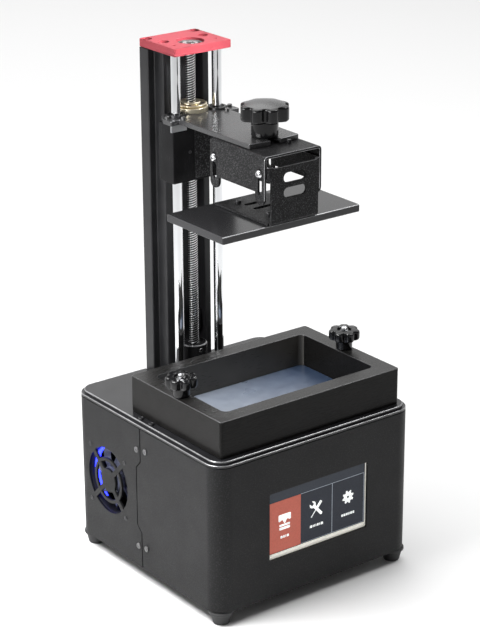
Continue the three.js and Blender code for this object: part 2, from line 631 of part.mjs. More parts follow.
function saddle() {
  const { x, wallX, railX, front, rear, z0, wallTop } = SADDLE;
  const sheet = box(-x, x, front, rear, z0, z0 + 2);
  const wall = prismY(polygon([
    [-wallX, z0], [wallX, z0], [wallX, RAIL_Z[0]], [railX, RAIL_Z[0]], [railX, RAIL_Z[1]],
    [wallX, wallTop], [-wallX, wallTop], [-railX, RAIL_Z[1]], [-railX, RAIL_Z[0]], [-wallX, RAIL_Z[0]],
  ]), front, front + 2);
  const rails = [
    box(-railX, -railX + 1.8, front + 1, rear, RAIL_Z[0], RAIL_Z[1]),
    box(railX - 1.8, railX, front + 1, rear, RAIL_Z[0], RAIL_Z[1]),
  ];
  const vents = [348, 336].map((z) => prismY(roundedRect(-11, z - 4, 11, z + 4, 3.9), front - 2, front + 4));
  const holes = TONGUES.map((y) => cylinderX(2.3, -railX - 2, railX + 2, y, LEVEL_Z, 16));
  const seats = [-18, -30].map((y) => prismZ(roundedRect(-10, y - 2.2, 10, y + 2.2, 2.1), z0 - 1, z0 + 4));
  return cut(join(sheet, wall, ...rails), ...vents, ...holes, ...seats);
}
add('saddle_bracket', saddle(), BLACK_PAINT);

for (const [name, side, y] of [
  ['level_screw_front_left', -1, TONGUES[0]], ['level_screw_front_right', 1, TONGUES[0]],
  ['level_screw_rear_left', -1, TONGUES[1]], ['level_screw_rear_right', 1, TONGUES[1]]]) {
  const face = HOOD.x + GAP;
  const head = side < 0 ? [-face - 2.4, -face] : [face, face + 2.4];
  const shank = side < 0 ? [-face - 1, -SADDLE.railX + 3.2] : [SADDLE.railX - 3.2, face + 1];
  add(name, join(
    cylinderX(3.3, head[0], head[1], y, LEVEL_Z, 16),
    cylinderX(2, shank[0], shank[1], y, LEVEL_Z, 16)), STEEL);
}

// Build plate: a slab with its upper and lower edges broken.
function buildPlate() {
  const { x, y0, y1, z0, z1 } = PLATE;
  const c = 0.7;
  const slab = new THREE.ExtrudeGeometry(roundedRect(-x + c, y0 + c, x - c, y1 - c, 1), {
    depth: z1 - z0 - 2 * c,
    bevelEnabled: true,
    bevelThickness: c,
    bevelSize: c,
    bevelSegments: 1,
    curveSegments: 3,
  });
  return slab.translate(0, 0, z0 + c);
}
add('build_plate', buildPlate(), BLACK_ANODISED);

// ---- vat ----------------------------------------------------------------------------------------
const POCKET = 3.4;                  // how far the film pocket reaches out under the vat's walls

function vatBody() {
  const { x, y0, y1, z0, z1 } = VAT;
  const outer = prismZ(roundedRect(-x, y0, x, y1, 3), z0, z1, 2);
  const basin = prismZ(roundedRect(-BASIN.x, BASIN.y0, BASIN.x, BASIN.y1, 4), z0 - 1, z1 + 1, 3);
  const pocket = prismZ(
    roundedRect(-BASIN.x - POCKET, BASIN.y0 - POCKET, BASIN.x + POCKET, BASIN.y1 + POCKET, 6),
    z0 - 1, FILM_POCKET_Z, 3);
  return cut(outer, basin, pocket,
    cylinderZ(3.4, z0 - 1, z1 + 1, -VAT_STUD_X, VAT_Y, 12),
    cylinderZ(3.4, z0 - 1, z1 + 1, VAT_STUD_X, VAT_Y, 12));
}
add('vat_body', vatBody(), BLACK_ANODISED);

const FILM_EDGE = POCKET - GAP;
const filmOutline = (grow, r) =>
  roundedRect(-BASIN.x - grow, BASIN.y0 - grow, BASIN.x + grow, BASIN.y1 + grow, r);
add('vat_film', prismZ(filmOutline(FILM_EDGE, 5.7), FILM_POCKET_Z - 0.5, FILM_POCKET_Z - 0.2, 3), FILM_CLEAR);
add('film_frame', cut(
  prismZ(filmOutline(FILM_EDGE, 5.7), VAT.z0 + 0.1, FILM_POCKET_Z - 0.7, 3),
  prismZ(filmOutline(0, 4), VAT.z0 - 1, FILM_POCKET_Z + 1, 3)), STEEL);

const VAT_KNOB_Z = [VAT.z1 + GAP, 182.4, 190.6];
for (const [label, side] of [['left', -1], ['right', 1]]) {
  const x = side * VAT_STUD_X;
  add(`vat_stud_${label}`, turned([
    [0, LID_TOP + GAP], [2.9, LID_TOP + GAP], [2.9, VAT_STUD_TOP - 1.6],
    [2.3, VAT_STUD_TOP - 0.5], [0, VAT_STUD_TOP],
  ], x, VAT_Y, 12), STEEL);
  const [z0, z1, z2] = VAT_KNOB_Z;
  const knob = cut(
    join(prismZ(star(13, 2.2, 7, 42), z1, z2), cylinderZ(6.9, z0, z1 + 1, 0, 0, 16)),
    cylinderZ(3.4, z0 - 1, z2 + 1, 0, 0, 12), cylinderZ(6, z2 - 1.6, z2 + 1, 0, 0, 12));
  add(`vat_knob_${label}`, knob.translate(x, VAT_Y, 0), KNOB_PLASTIC);
}

export default printer;
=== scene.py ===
import math

import bmesh
import bpy
from mathutils import Matrix, Vector
from mathutils.geometry import tessellate_polygon


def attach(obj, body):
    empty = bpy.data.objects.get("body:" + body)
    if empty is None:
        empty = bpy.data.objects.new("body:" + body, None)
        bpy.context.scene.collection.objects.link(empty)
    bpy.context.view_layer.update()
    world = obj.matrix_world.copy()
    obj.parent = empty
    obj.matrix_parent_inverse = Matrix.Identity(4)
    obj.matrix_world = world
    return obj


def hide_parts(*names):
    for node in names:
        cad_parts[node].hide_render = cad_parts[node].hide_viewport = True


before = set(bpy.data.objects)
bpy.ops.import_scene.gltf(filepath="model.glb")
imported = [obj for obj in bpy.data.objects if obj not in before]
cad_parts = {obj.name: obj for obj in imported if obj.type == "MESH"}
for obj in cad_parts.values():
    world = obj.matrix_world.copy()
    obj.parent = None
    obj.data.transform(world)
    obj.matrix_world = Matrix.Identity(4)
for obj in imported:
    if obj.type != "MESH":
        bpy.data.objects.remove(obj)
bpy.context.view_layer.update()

# Shapes are in millimetres, in the CAD frame, and make() turns them into metres. The camera, the floor and
# the lamps are placed in metres.
MM = 0.001

# ---- camera ---------------------------------------------------------------------------------------
CAMERA_AT = (-0.9549, -1.2636, 0.8164)
CAMERA_TURN = 37.03      # degrees from +Y towards +X that the camera looks
CAMERA_DROP = 20.99      # degrees below the horizon
CAMERA_ROLL = -0.30
CAMERA_LENS = 117.1


def make_camera():
    turn, drop = math.radians(CAMERA_TURN), math.radians(CAMERA_DROP)
    forward = Vector((math.sin(turn) * math.cos(drop), math.cos(turn) * math.cos(drop), -math.sin(drop)))
    right = forward.cross(Vector((0, 0, 1))).normalized()
    up = right.cross(forward)
    basis = Matrix((right, up, -forward)).transposed()
    roll = Matrix.Rotation(math.radians(CAMERA_ROLL), 3, -forward)
    data = bpy.data.cameras.new("camera")
    data.lens = CAMERA_LENS
    data.clip_start, data.clip_end = 0.05, 50
    camera = bpy.data.objects.new("camera", data)
    camera.matrix_world = Matrix.Translation(CAMERA_AT) @ (roll @ basis).to_4x4()
    bpy.context.scene.collection.objects.link(camera)
    bpy.context.scene.camera = camera


make_camera()


# ---- flat outlines --------------------------------------------------------------------------------
SIDES = (("left", -1), ("right", 1))


def arc(cx, cy, r, start, end, steps=6):
    angles = [math.radians(start + (end - start) * i / steps) for i in range(steps + 1)]
    return [(cx + r * math.cos(a), cy + r * math.sin(a)) for a in angles]


def circle(cx, cy, r, steps=40):
    return arc(cx, cy, r, 0, 360, steps)[:-1]


def rect(x0, y0, x1, y1, r=0.0, steps=6):
    if not r:
        return [(x0, y0), (x1, y0), (x1, y1), (x0, y1)]
    return (arc(x1 - r, y0 + r, r, -90, 0, steps) + arc(x1 - r, y1 - r, r, 0, 90, steps)
            + arc(x0 + r, y1 - r, r, 90, 180, steps) + arc(x0 + r, y0 + r, r, 180, 270, steps))


def both_sides(points):
    """An outline from its right half, listed from the bottom up."""
    return points + [(-x, y) for x, y in reversed(points)]


def rods(r, steps=48):
    """A circle of radius r round each guide rod."""
    return [circle(side * ROD_X, ROD_Y, r, steps) for side in (-1, 1)]


def shifted(outline, dx, dy):
    return [(x + dx, y + dy) for x, y in outline]


def rounded(outline, radii, steps=4):
    """The outline with its corners rounded; radii is one radius, or one for each corner. Every arc comes out
    at 1 mm, since slerp gives unit vectors, so the edges beside a corner of radius r lie 1 - r further out."""
    out, n = [], len(outline)
    for i, corner in enumerate(outline):
        r = radii[i] if isinstance(radii, (list, tuple)) else radii
        p = Vector(corner)
        a = (Vector(outline[i - 1]) - p).normalized()
        b = (Vector(outline[(i + 1) % n]) - p).normalized()
        half = a.angle(b) / 2
        if r < 0.01 or half > 1.5:
            out.append(corner)
            continue
        reach = r / math.tan(half)
        centre = p + (a + b).normalized() * (r / math.sin(half))
        one, two = p + a * reach - centre, p + b * reach - centre
        for k in range(steps + 1):
            out.append(tuple(centre + one.slerp(two, k / steps) * (r / one.length)))
    return out


def star(radius, depth, lobes, steps, sharp=1.0):
    """A star knob's outline: round lobes with a scallop between each two."""
    out = []
    for i in range(steps):
        a = 2 * math.pi * i / steps
        wave = 0.5 - 0.5 * math.cos(lobes * a)
        r = radius - depth * wave ** sharp
        out.append((r * math.cos(a), r * math.sin(a)))
    return out


def clean(loop):
    out = []
    for p in loop:
        if not out or math.dist(p, out[-1]) > 1e-3:
            out.append(tuple(p))
    return out[:-1] if math.dist(out[0], out[-1]) < 1e-3 else out


def wound(loop, left=True):
    loop = clean(loop)
    area = sum(a[0] * b[1] - b[0] * a[1] for a, b in zip(loop, loop[1:] + loop[:1]))
    return loop if (area > 0) == left else loop[::-1]


def inset(loop, d):
    """The loop moved to its left by d, with mitred corners."""
    out, n = [], len(loop)
    for i, (x, y) in enumerate(loop):
        u = (Vector((x, y)) - Vector(loop[i - 1])).normalized()
        v = (Vector(loop[(i + 1) % n]) - Vector((x, y))).normalized()
        normal = Vector((-u.y - v.y, u.x + v.x))
        k = d / max(0.35, 1 + u.dot(v))
        out.append((x + normal.x * k, y + normal.y * k))
    return out


# ---- solids ---------------------------------------------------------------------------------------
class Solid:
    """One or more closed shells, as vertices and faces."""

    def __init__(self, verts=(), faces=()):
        self.verts = [Vector(v) for v in verts]
        self.faces = [tuple(f) for f in faces]

    def __add__(self, other):
        start = len(self.verts)
        return Solid(self.verts + other.verts,
                     self.faces + [tuple(i + start for i in f) for f in other.faces])

    def mapped(self, rule):
        return Solid([rule(v) for v in self.verts], self.faces)

    def at(self, x=0.0, y=0.0, z=0.0):
        return self.mapped(lambda v: v + Vector((x, y, z)))

    def turned(self, degrees, axis="Z"):
        m = Matrix.Rotation(math.radians(degrees), 3, axis)
        return self.mapped(lambda v: m @ v)

    def along_x(self):
        """Outline (y, z), standing along +X."""
        return self.mapped(lambda v: Vector((v.z, v.x, v.y)))

    def along_y(self):
        """Outline (x, z), standing along +Y."""
        return self.mapped(lambda v: Vector((v.x, v.z, v.y)))


def prism(outline, z0, z1, holes=(), bevel=0.3, low=None, rounds=2):
    """An outline with holes, standing from z0 to z1; bevel rounds its upper edges and low its lower ones."""
    low = bevel if low is None else low
    profile = []
    for size, edge, way in ((low, z0, 1), (bevel, z1, -1)):
        part = [(0.0, edge)]
        if size > 0:
            part = [(size * (1 - math.sin(a)), edge + way * size * (1 - math.cos(a)))
                    for a in (math.pi / 2 * k / rounds for k in range(rounds + 1))]
        profile += part if way > 0 else part[::-1]
    verts, faces, bottoms, tops = [], [], [], []
    for loop in [wound(outline)] + [wound(hole, False) for hole in holes]:
        n, start = len(loop), len(verts)
        for d, z in profile:
            verts += [(x, y, z) for x, y in (inset(loop, d) if d else loop)]
        for k in range(len(profile) - 1):
            a = start + k * n
            faces += [(a + i, a + (i + 1) % n, a + n + (i + 1) % n, a + n + i) for i in range(n)]
        bottoms.append(list(range(start, start + n)))
        last = start + (len(profile) - 1) * n
        tops.append(list(range(last, last + n)))
    for rings in (bottoms, tops):
        if len(rings) == 1:
            faces.append(tuple(rings[0]))
            continue
        flat = [i for ring in rings for i in ring]
        loops = [[Vector((verts[i][0], verts[i][1], 0)) for i in ring] for ring in rings]
        faces += [tuple(flat[i] for i in tri) for tri in tessellate_polygon(loops)]
    return Solid(verts, faces)


def lathe(profile, steps=48):
    """A profile of (radius, height) turned round Z: from axis to axis, or closed on itself."""
    closed = profile[0] == profile[-1]
    points = profile[:-1] if closed else profile
    verts, faces, rings = [], [], []
    for r, z in points:
        start = len(verts)
        if r < 1e-6:
            verts.append((0, 0, z))
            rings.append([start] * steps)
        else:
            verts += [(x, y, z) for x, y in circle(0, 0, r, steps)]
            rings.append(list(range(start, start + steps)))
    pairs = list(zip(rings, rings[1:])) + ([(rings[-1], rings[0])] if closed else [])
    for a, b in pairs:
        for i in range(steps):
            j = (i + 1) % steps
            face = dict.fromkeys((a[i], a[j], b[j], b[i]))
            if len(face) > 2:
                faces.append(tuple(face))
    return Solid(verts, faces)


def eased(profile, size, steps=2):
    """A lathe profile with its corners rounded, leaving its two ends alone."""
    out = [profile[0]]
    for a, p, b in zip(profile, profile[1:], profile[2:]):
        u, v = Vector(a) - Vector(p), Vector(b) - Vector(p)
        reach = min(size, u.length * 0.45, v.length * 0.45)
        start, end = Vector(p) + u.normalized() * reach, Vector(p) + v.normalized() * reach
        for k in range(steps + 1):
            t = k / steps
            q = start * (1 - t) ** 2 + Vector(p) * 2 * t * (1 - t) + end * t * t
            out.append((q.x, q.y))
    return out + [profile[-1]]


def rod(r, z0, z1, ease=0.4, steps=40):
    return lathe(eased([(0, z0), (r, z0), (r, z1), (0, z1)], ease), steps)


def revolved(corners, radii, rounds=2, steps=56):
    """A closed section of (radius, height) corners, rounded and turned round Z."""
    section = clean(rounded(corners, radii, rounds))
    return lathe([*section, section[0]], steps)


def loft(rings):
    """Rings of the same number of points, joined in order and closed at both ends."""
    n = len(rings[0])
    faces = [(k * n + i, k * n + (i + 1) % n, (k + 1) * n + (i + 1) % n, (k + 1) * n + i)
             for k in range(len(rings) - 1) for i in range(n)]
    faces += [tuple(range(n)), tuple(range((len(rings) - 1) * n, len(rings) * n))]
    return Solid([v for ring in rings for v in ring], faces)


def folded(sheet, path, outward=1, bends=8):
    """Folds a flat sheet. Its x runs along the path and its z, from 0 down, goes in from the path's face.
    The path is a start point, a heading in degrees, then ("run", length) and ("turn", radius, degrees).
    The result keeps y as the third axis."""
    spans, cuts, s = [], [], 0.0
    point, heading = Vector(path[0]), math.radians(path[1])
    for step in path[2:]:
        if step[0] == "run":
            spans.append((s, s + step[1], point.copy(), heading, 0.0, 0))
            point = point + Vector((math.cos(heading), math.sin(heading))) * step[1]
            s += step[1]
            continue
        radius, angle = step[1], math.radians(step[2])
        side = 1 if angle > 0 else -1
        length = radius * abs(angle)
        spans.append((s, s + length, point.copy(), heading, radius, side))
        cuts += [s + length * k / bends for k in range(bends + 1)]
        centre = point + Vector((-math.sin(heading), math.cos(heading))) * radius * side
        heading += angle
        point = centre - Vector((-math.sin(heading), math.cos(heading))) * radius * side
        s += length

    def place(v):
        for start, end, origin, way, radius, side in spans:
            if v.x <= end + 1e-6 or end >= s - 1e-6:
                break
        along = v.x - start
        if radius:
            centre = origin + Vector((-math.sin(way), math.cos(way))) * radius * side
            now = way + side * along / radius
            p = centre - Vector((-math.sin(now), math.cos(now))) * radius * side
        else:
            now = way
            p = origin + Vector((math.cos(way), math.sin(way))) * along
        p = p + Vector((-math.sin(now), math.cos(now))) * v.z * outward
        return Vector((p.x, p.y, v.y))

    bm = to_bmesh(sheet)
    for cut in cuts:
        geometry = bm.verts[:] + bm.edges[:] + bm.faces[:]
        bmesh.ops.bisect_plane(bm, geom=geometry, dist=1e-4, plane_co=(cut, 0, 0), plane_no=(1, 0, 0))
    bm.verts.index_update()
    solid = Solid([place(v.co) for v in bm.verts], [[v.index for v in f.verts] for f in bm.faces])
    bm.free()
    return solid


def to_bmesh(solid):
    bm = bmesh.new()
    verts = [bm.verts.new(v) for v in solid.verts]
    for face in solid.faces:
        bm.faces.new([verts[i] for i in face])
    return bm


def make(name, solid, look, body, replaces=(), crease=40, patches=()):
    """Turns a solid into a piece with its look, riding on a CAD body. Each patch is another look and a rule
    that takes a face's centre in millimetres, its normal and its width, and says where that look goes."""
    bm = to_bmesh(solid)
    bmesh.ops.remove_doubles(bm, verts=bm.verts[:], dist=1e-4)
    bmesh.ops.recalc_face_normals(bm, faces=bm.faces[:])
    bmesh.ops.scale(bm, vec=(MM, MM, MM), verts=bm.verts[:])
    mesh = bpy.data.meshes.new(name)
    bm.to_mesh(mesh)
    bm.free()
    for face in mesh.polygons:
        face.use_smooth = True
    mesh.set_sharp_from_angle(angle=math.radians(crease))
    mesh.materials.append(look)
    for number, (other_look, rule) in enumerate(patches, 1):
        mesh.materials.append(other_look)
        for face in mesh.polygons:
            corners = [mesh.vertices[i].co for i in face.vertices]
            longest = max((a - b).length for a, b in zip(corners, corners[1:] + corners[:1]))
            if rule(face.center / MM, face.normal, face.area / longest / MM):
                face.material_index = number
    piece = bpy.data.objects.new(name, mesh)
    bpy.context.scene.collection.objects.link(piece)
    weighted = piece.modifiers.new("weighted_normals", "WEIGHTED_NORMAL")
    weighted.keep_sharp = True
    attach(piece, body)
    if replaces:
        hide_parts(*replaces)
    return piece


# The rules below pick faces of rounded edges; the edge looks put on them are painted highlights.
EDGE_WIDTH = 0.9     # the widest face of a rounded edge
EDGE_TILT = 0.985    # a rounded edge's normals stay below this along every axis
FLAT = 0.98          # a flat face's normal is above this along its axis


def on_edge(centre, normal, width):
    """True on the narrow slanting faces of a rounded edge."""
    return width < EDGE_WIDTH and max(abs(c) for c in normal) < EDGE_TILT


def on_upper_edge(centre, normal, width):
    return on_edge(centre, normal, width) and normal.z > 0.2


def on_front_edge(centre, normal, width):
    return on_upper_edge(centre, normal, width) and normal.y < -0.2


# ---- materials ------------------------------------------------------------------------------------
class Nodes:
    """Short names for building one material's node tree."""

    def __init__(self, name):
        self.material = bpy.data.materials.new(name)
        self.material.use_nodes = True
        self.tree = self.material.node_tree
        self.shader = self.tree.nodes["Principled BSDF"]
        self.place = self.tree.nodes.new("ShaderNodeTexCoord").outputs["Object"]

    def link(self, a, b):
        self.tree.links.new(a, b)

    def set(self, **values):
        for key, value in values.items():
            self.shader.inputs[key.replace("_", " ")].default_value = value

    def noise(self, size, detail=2.0, stretch=(1, 1, 1), rough=0.5):
        """Noise whose features are about size millimetres across, drawn out along an axis by stretch."""
        mapping = self.tree.nodes.new("ShaderNodeMapping")
        mapping.inputs["Scale"].default_value = [1 / (size * MM * k) for k in stretch]
        self.link(self.place, mapping.inputs["Vector"])
        node = self.tree.nodes.new("ShaderNodeTexNoise")
        node.inputs["Scale"].default_value = 1.0
        node.inputs["Detail"].default_value = detail
        node.inputs["Roughness"].default_value = rough
        self.link(mapping.outputs["Vector"], node.inputs["Vector"])
        return node.outputs["Fac"]

    def span(self, value, low, high, start=0.3, end=0.7):
        node = self.tree.nodes.new("ShaderNodeMapRange")
        node.inputs["From Min"].default_value = start
        node.inputs["From Max"].default_value = end
        node.inputs["To Min"].default_value = low
        node.inputs["To Max"].default_value = high
        self.link(value, node.inputs["Value"])
        return node.outputs["Result"]

    def mix(self, value, a, b):
        node = self.tree.nodes.new("ShaderNodeMix")
        node.data_type = "RGBA"
        self.link(value, node.inputs["Factor"])
        for socket, color in ((node.inputs[6], a), (node.inputs[7], b)):
            if isinstance(color, (tuple, list)):
                socket.default_value = (*color[:3], 1)
            else:
                self.link(color, socket)
        return node.outputs[2]

    def bump(self, height, depth, strength=1.0, under=None):
        """A bump of depth millimetres."""
        node = self.tree.nodes.new("ShaderNodeBump")
        node.inputs["Distance"].default_value = depth * MM
        node.inputs["Strength"].default_value = strength
        self.link(height, node.inputs["Height"])
        if under:
            self.link(under, node.inputs["Normal"])
        return node.outputs["Normal"]


def finish_look(name, color, rough, metal=0.0, tint=None, grain=0.6, depth=0.01, spread=0.06,
                stretch=(1, 1, 1), mottle=18.0, fleck=None, **sockets):
    """A surface with fine grain in its bump, slow changes of colour and roughness, and any pale flecks."""
    n = Nodes(name)
    n.set(Metallic=metal, **sockets)
    tint = tint or tuple(c * 1.5 for c in color)
    slow = n.noise(mottle, 3)
    fine = n.noise(grain, 2, stretch)
    paint = n.mix(n.span(slow, 0, 1), color, tint)
    if fleck:
        paint = n.mix(n.span(n.noise(grain * 1.3, 1), 0, 1, 0.52, 0.72), paint, fleck)
    n.link(paint, n.shader.inputs["Base Color"])
    mixed = n.tree.nodes.new("ShaderNodeMath")
    mixed.operation = "ADD"
    n.link(n.span(fine, -spread, spread), mixed.inputs[0])
    n.link(n.span(slow, rough - spread / 2, rough + spread / 2), mixed.inputs[1])
    n.link(mixed.outputs[0], n.shader.inputs["Roughness"])
    if depth:
        n.link(n.bump(fine, depth), n.shader.inputs["Normal"])
    return n.material


PAINT = finish_look("powder_coat", (0.004, 0.004, 0.0044), 0.5, grain=0.8, depth=0.08, spread=0.1,
                    fleck=(0.016, 0.016, 0.0168), Specular_IOR_Level=0.24)
LID = finish_look("lid_coat", (0.01, 0.01, 0.011), 0.2, grain=0.6, depth=0.005, spread=0.04)
BRACKET = finish_look("bracket_coat", (0.008, 0.008, 0.0084), 0.42, grain=0.7, depth=0.08, spread=0.14,
                      fleck=(0.075, 0.075, 0.078), Specular_IOR_Level=0.11)
ANODISED = finish_look("black_anodised", (0.026, 0.026, 0.0275), 0.2, 0.3, tint=(0.031, 0.031, 0.033),
                       grain=0.4, depth=0.002, spread=0.03, stretch=(12, 1, 1), mottle=50)
ARM_BLACK = finish_look("satin_anodised", (0.066, 0.066, 0.068), 0.27, 0.35, tint=(0.075, 0.075, 0.077),
                        grain=0.4, depth=0.002, spread=0.03, stretch=(12, 1, 1), mottle=50)
BLOCK_BLACK = finish_look("machined_black", (0.009, 0.009, 0.0095), 0.22, 0.0, grain=0.5, depth=0.003,
                          stretch=(1, 1, 12), Specular_IOR_Level=0.06)
VAT_BLACK = finish_look("vat_anodised", (0.007, 0.0067, 0.0065), 0.28, 0.0, grain=0.5, depth=0.006,
                        stretch=(14, 1, 1), mottle=40, Specular_IOR_Level=0.1)
VAT_TOP = finish_look("vat_top_face", (0.009, 0.0087, 0.0084), 0.3, 0.0, grain=0.5, depth=0.004,
                      stretch=(14, 1, 1), mottle=60, Specular_IOR_Level=0.36)
VAT_INNER = finish_look("vat_inner_wall", (0.06, 0.056, 0.05), 0.34, 0.3, tint=(0.085, 0.079, 0.07),
                        grain=0.6, depth=0.01, stretch=(14, 1, 1), mottle=40)
# A lighter, metallic look for rounded edges: a painted highlight standing in for the light the edges catch.
EDGE_PAINTED_HIGHLIGHT = finish_look("painted_highlight_edges", (0.3, 0.3, 0.31), 0.3, 0.8, grain=0.5, depth=0.002)
# The vat's edge look: lighter and more metallic than its walls, a painted highlight on its rounded upper
# edges.
VAT_PAINTED_HIGHLIGHT = finish_look("vat_top_edges_painted_highlight", (0.07, 0.07, 0.072), 0.28, 0.7, grain=0.5, depth=0.002)
# The lid's edge look: lighter and metallic, a painted highlight on its rounded edges.
LID_PAINTED_HIGHLIGHT = finish_look("lid_edges_painted_highlight", (0.26, 0.26, 0.265), 0.26, 0.8, grain=0.5, depth=0.002)
COLUMN = finish_look("column_anodised", (0.015, 0.015, 0.0162), 0.38, 0.2, grain=0.5, depth=0.01,
                     stretch=(1, 1, 60), Specular_IOR_Level=0.35)
RED = finish_look("red_anodised", (0.36, 0.056, 0.072), 0.56, 0.0, tint=(0.39, 0.066, 0.082), grain=0.3,
                  depth=0.006, Specular_IOR_Level=0.15)
CHROME = finish_look("hard_chrome", (0.82, 0.83, 0.85), 0.06, 1.0, tint=(0.86, 0.87, 0.88), grain=0.3,
                     depth=0.0006, spread=0.02, stretch=(1, 1, 30))
STEEL = finish_look("bright_steel", (0.74, 0.75, 0.77), 0.18, 1.0, tint=(0.8, 0.8, 0.81), grain=0.3,
                    depth=0.003)
SCREW_STEEL = finish_look("turned_steel", (0.9, 0.9, 0.91), 0.3, 0.9, tint=(0.95, 0.95, 0.95), grain=0.3,
                          depth=0.003)
DULL_STEEL = finish_look("dull_steel", (0.16, 0.16, 0.165), 0.34, 0.9, tint=(0.2, 0.2, 0.2), grain=0.3,
                         depth=0.004)
DARK_STEEL = finish_look("black_oxide", (0.035, 0.035, 0.037), 0.3, 0.7, grain=0.3, depth=0.004)
# Painted shade: a dark look for the thread's roots, darkening the grooves as if shaded.
THREAD_ROOT_SHADE = finish_look("thread_root_painted_shade", (0.012, 0.012, 0.012), 0.35, 0.2, grain=0.5, depth=0.004)
BRASS = finish_look("brass", (0.96, 0.87, 0.64), 0.32, 0.9, tint=(0.98, 0.9, 0.72), grain=0.3, depth=0.004)
RUBBER = finish_look("rubber", (0.02, 0.02, 0.0208), 0.6, grain=0.5, depth=0.02)
KNOB = finish_look("knob_gloss", (0.005, 0.005, 0.0055), 0.12, grain=0.8, depth=0.004, spread=0.03,
                   Specular_IOR_Level=0.4)
KNOB_TOP = finish_look("knob_crown", (0.02, 0.02, 0.0205), 0.3, grain=0.5, depth=0.006, spread=0.05,
                       Specular_IOR_Level=0.9)
PLASTIC = finish_look("black_plastic", (0.012, 0.012, 0.013), 0.42, grain=0.4, depth=0.01)
WHITE = finish_look("white_plastic", (0.78, 0.77, 0.72), 0.4, tint=(0.82, 0.81, 0.77), grain=0.4, depth=0.008)
BOARD = finish_look("circuit_board", (0.012, 0.09, 0.03), 0.4, tint=(0.02, 0.13, 0.045), mottle=4.0)
BARE = finish_look("bare_aluminium", (0.55, 0.56, 0.58), 0.36, 1.0, tint=(0.62, 0.63, 0.64),
                   stretch=(20, 1, 1))
LCD = finish_look("exposure_panel", (0.012, 0.02, 0.05), 0.12, tint=(0.016, 0.028, 0.07), grain=0.4,
                  depth=0.001, spread=0.02)
BLADE = finish_look("fan_blade", (0.1, 0.11, 0.17), 0.25, tint=(0.13, 0.14, 0.21), grain=0.4, depth=0.005)


def glowing(name, color, strength, rough=0.2, tint=None):
    n = Nodes(name)
    n.set(Emission_Strength=strength, Specular_IOR_Level=0.15)
    pale = n.mix(n.span(n.noise(1.2, 2), 0, 1), color, tint or tuple(c * 1.12 for c in color))
    n.link(pale, n.shader.inputs["Base Color"])
    n.link(pale, n.shader.inputs["Emission Color"])
    n.link(n.span(n.noise(6, 2), rough, rough + 0.06), n.shader.inputs["Roughness"])
    return n.material


LED = glowing("led_blue", (0.02, 0.03, 1.0), 7)
SCREEN_SLATE = glowing("screen_slate", (0.022, 0.025, 0.033), 0.4)
SCREEN_RED = glowing("screen_red", (0.38, 0.1, 0.072), 0.4)
SCREEN_HEAD = glowing("screen_header", (0.034, 0.039, 0.049), 0.35)
SCREEN_LINE = glowing("screen_line", (0.26, 0.29, 0.33), 0.5)
SCREEN_WHITE = glowing("screen_white", (0.82, 0.84, 0.83), 0.5)
# The white frame round the screen glows faintly: painted light, brightening it as if it caught light from the
# floor.
BEZEL_PAINTED_GLOW = glowing("screen_bezel_painted_glow", (0.86, 0.84, 0.76), 0.3, 0.4)


def film_look_with_painted_sheen():
    """Film over the dark panel: bluish, with a painted sheen that is pale on the left and fades to dark on the
    right.
    """
    n = Nodes("vat_film")
    n.set(Metallic=0.0, IOR=2.0)
    split = n.tree.nodes.new("ShaderNodeSeparateXYZ")
    n.link(n.place, split.inputs[0])
    # Painted sheen: pale at the left end of the film, dark at the right, along X.
    fade = n.span(split.outputs["X"], 0, 1, -0.06, 0.07)
    painted_sheen_dim = n.mix(fade, (0.24, 0.27, 0.32), (0.03, 0.05, 0.1))
    painted_sheen_pale = n.mix(fade, (0.3, 0.33, 0.38), (0.05, 0.08, 0.14))
    n.link(n.mix(n.span(n.noise(9, 4), 0, 1), painted_sheen_dim, painted_sheen_pale), n.shader.inputs["Base Color"])
    n.link(n.span(n.noise(22, 2), 0.26, 0.34), n.shader.inputs["Roughness"])
    return n.material


FILM_PAINTED_SHEEN = film_look_with_painted_sheen()

# ---- base housing ---------------------------------------------------------------------------------
HALF = 100.0
CORNER = 15.0
SHELL_Z = (12.0, 137.3)
SEAM_Y = 4.0
SEAM_GAP = 0.8
TOOTH = 6.0
TOOTH_Z = (44.0, 50.0, 101.5, 108.0)
GAP = 0.3
WALL = 2.0
TURN = CORNER * math.pi / 2
STRAIGHT = 2 * (HALF - CORNER)
WINDOW = (-48.6, 51.8, 45.1, 103.3)
SCREEN_BOX = (-48.4, 51.0, 49.0, 103.8)
FAN_Y, FAN_Z = 52.5, 73.8
FAN_SCREWS = [(FAN_Y + dy, FAN_Z + dz) for dy in (-25, 25) for dz in (-25, 25)]


def shell(side, start, heading, tooth_out, holes):
    """A wall bent round two corners, with flat sides of length side; its ends carry the tooth or take it."""
    za, zb, zc, zd = TOOTH_Z
    total = 2 * side + 2 * TURN + STRAIGHT
    near, far = (TOOTH, 0.0) if tooth_out else (0.0, TOOTH)
    edge = [(near, SHELL_Z[0]), (near, za), (far, zb), (far, zc), (near, zd), (near, SHELL_Z[1])]
    outline = edge[::-1] + [(total - s, z) for s, z in edge]
    sheet = prism(outline, -WALL, 0, holes, bevel=0.35, rounds=2)
    path = [start, heading, ("run", side), ("turn", CORNER, 90), ("run", STRAIGHT),
            ("turn", CORNER, 90), ("run", side)]
    return folded(sheet, path, outward=-1)


def front_shell():
    side = (SEAM_Y + TOOTH) + HALF - CORNER
    middle = side + TURN + HALF - CORNER
    window = rect(middle + WINDOW[0], WINDOW[2], middle + WINDOW[1], WINDOW[3], 1.2, 3)
    return shell(side, (-HALF, SEAM_Y + TOOTH), -90, True, [window])


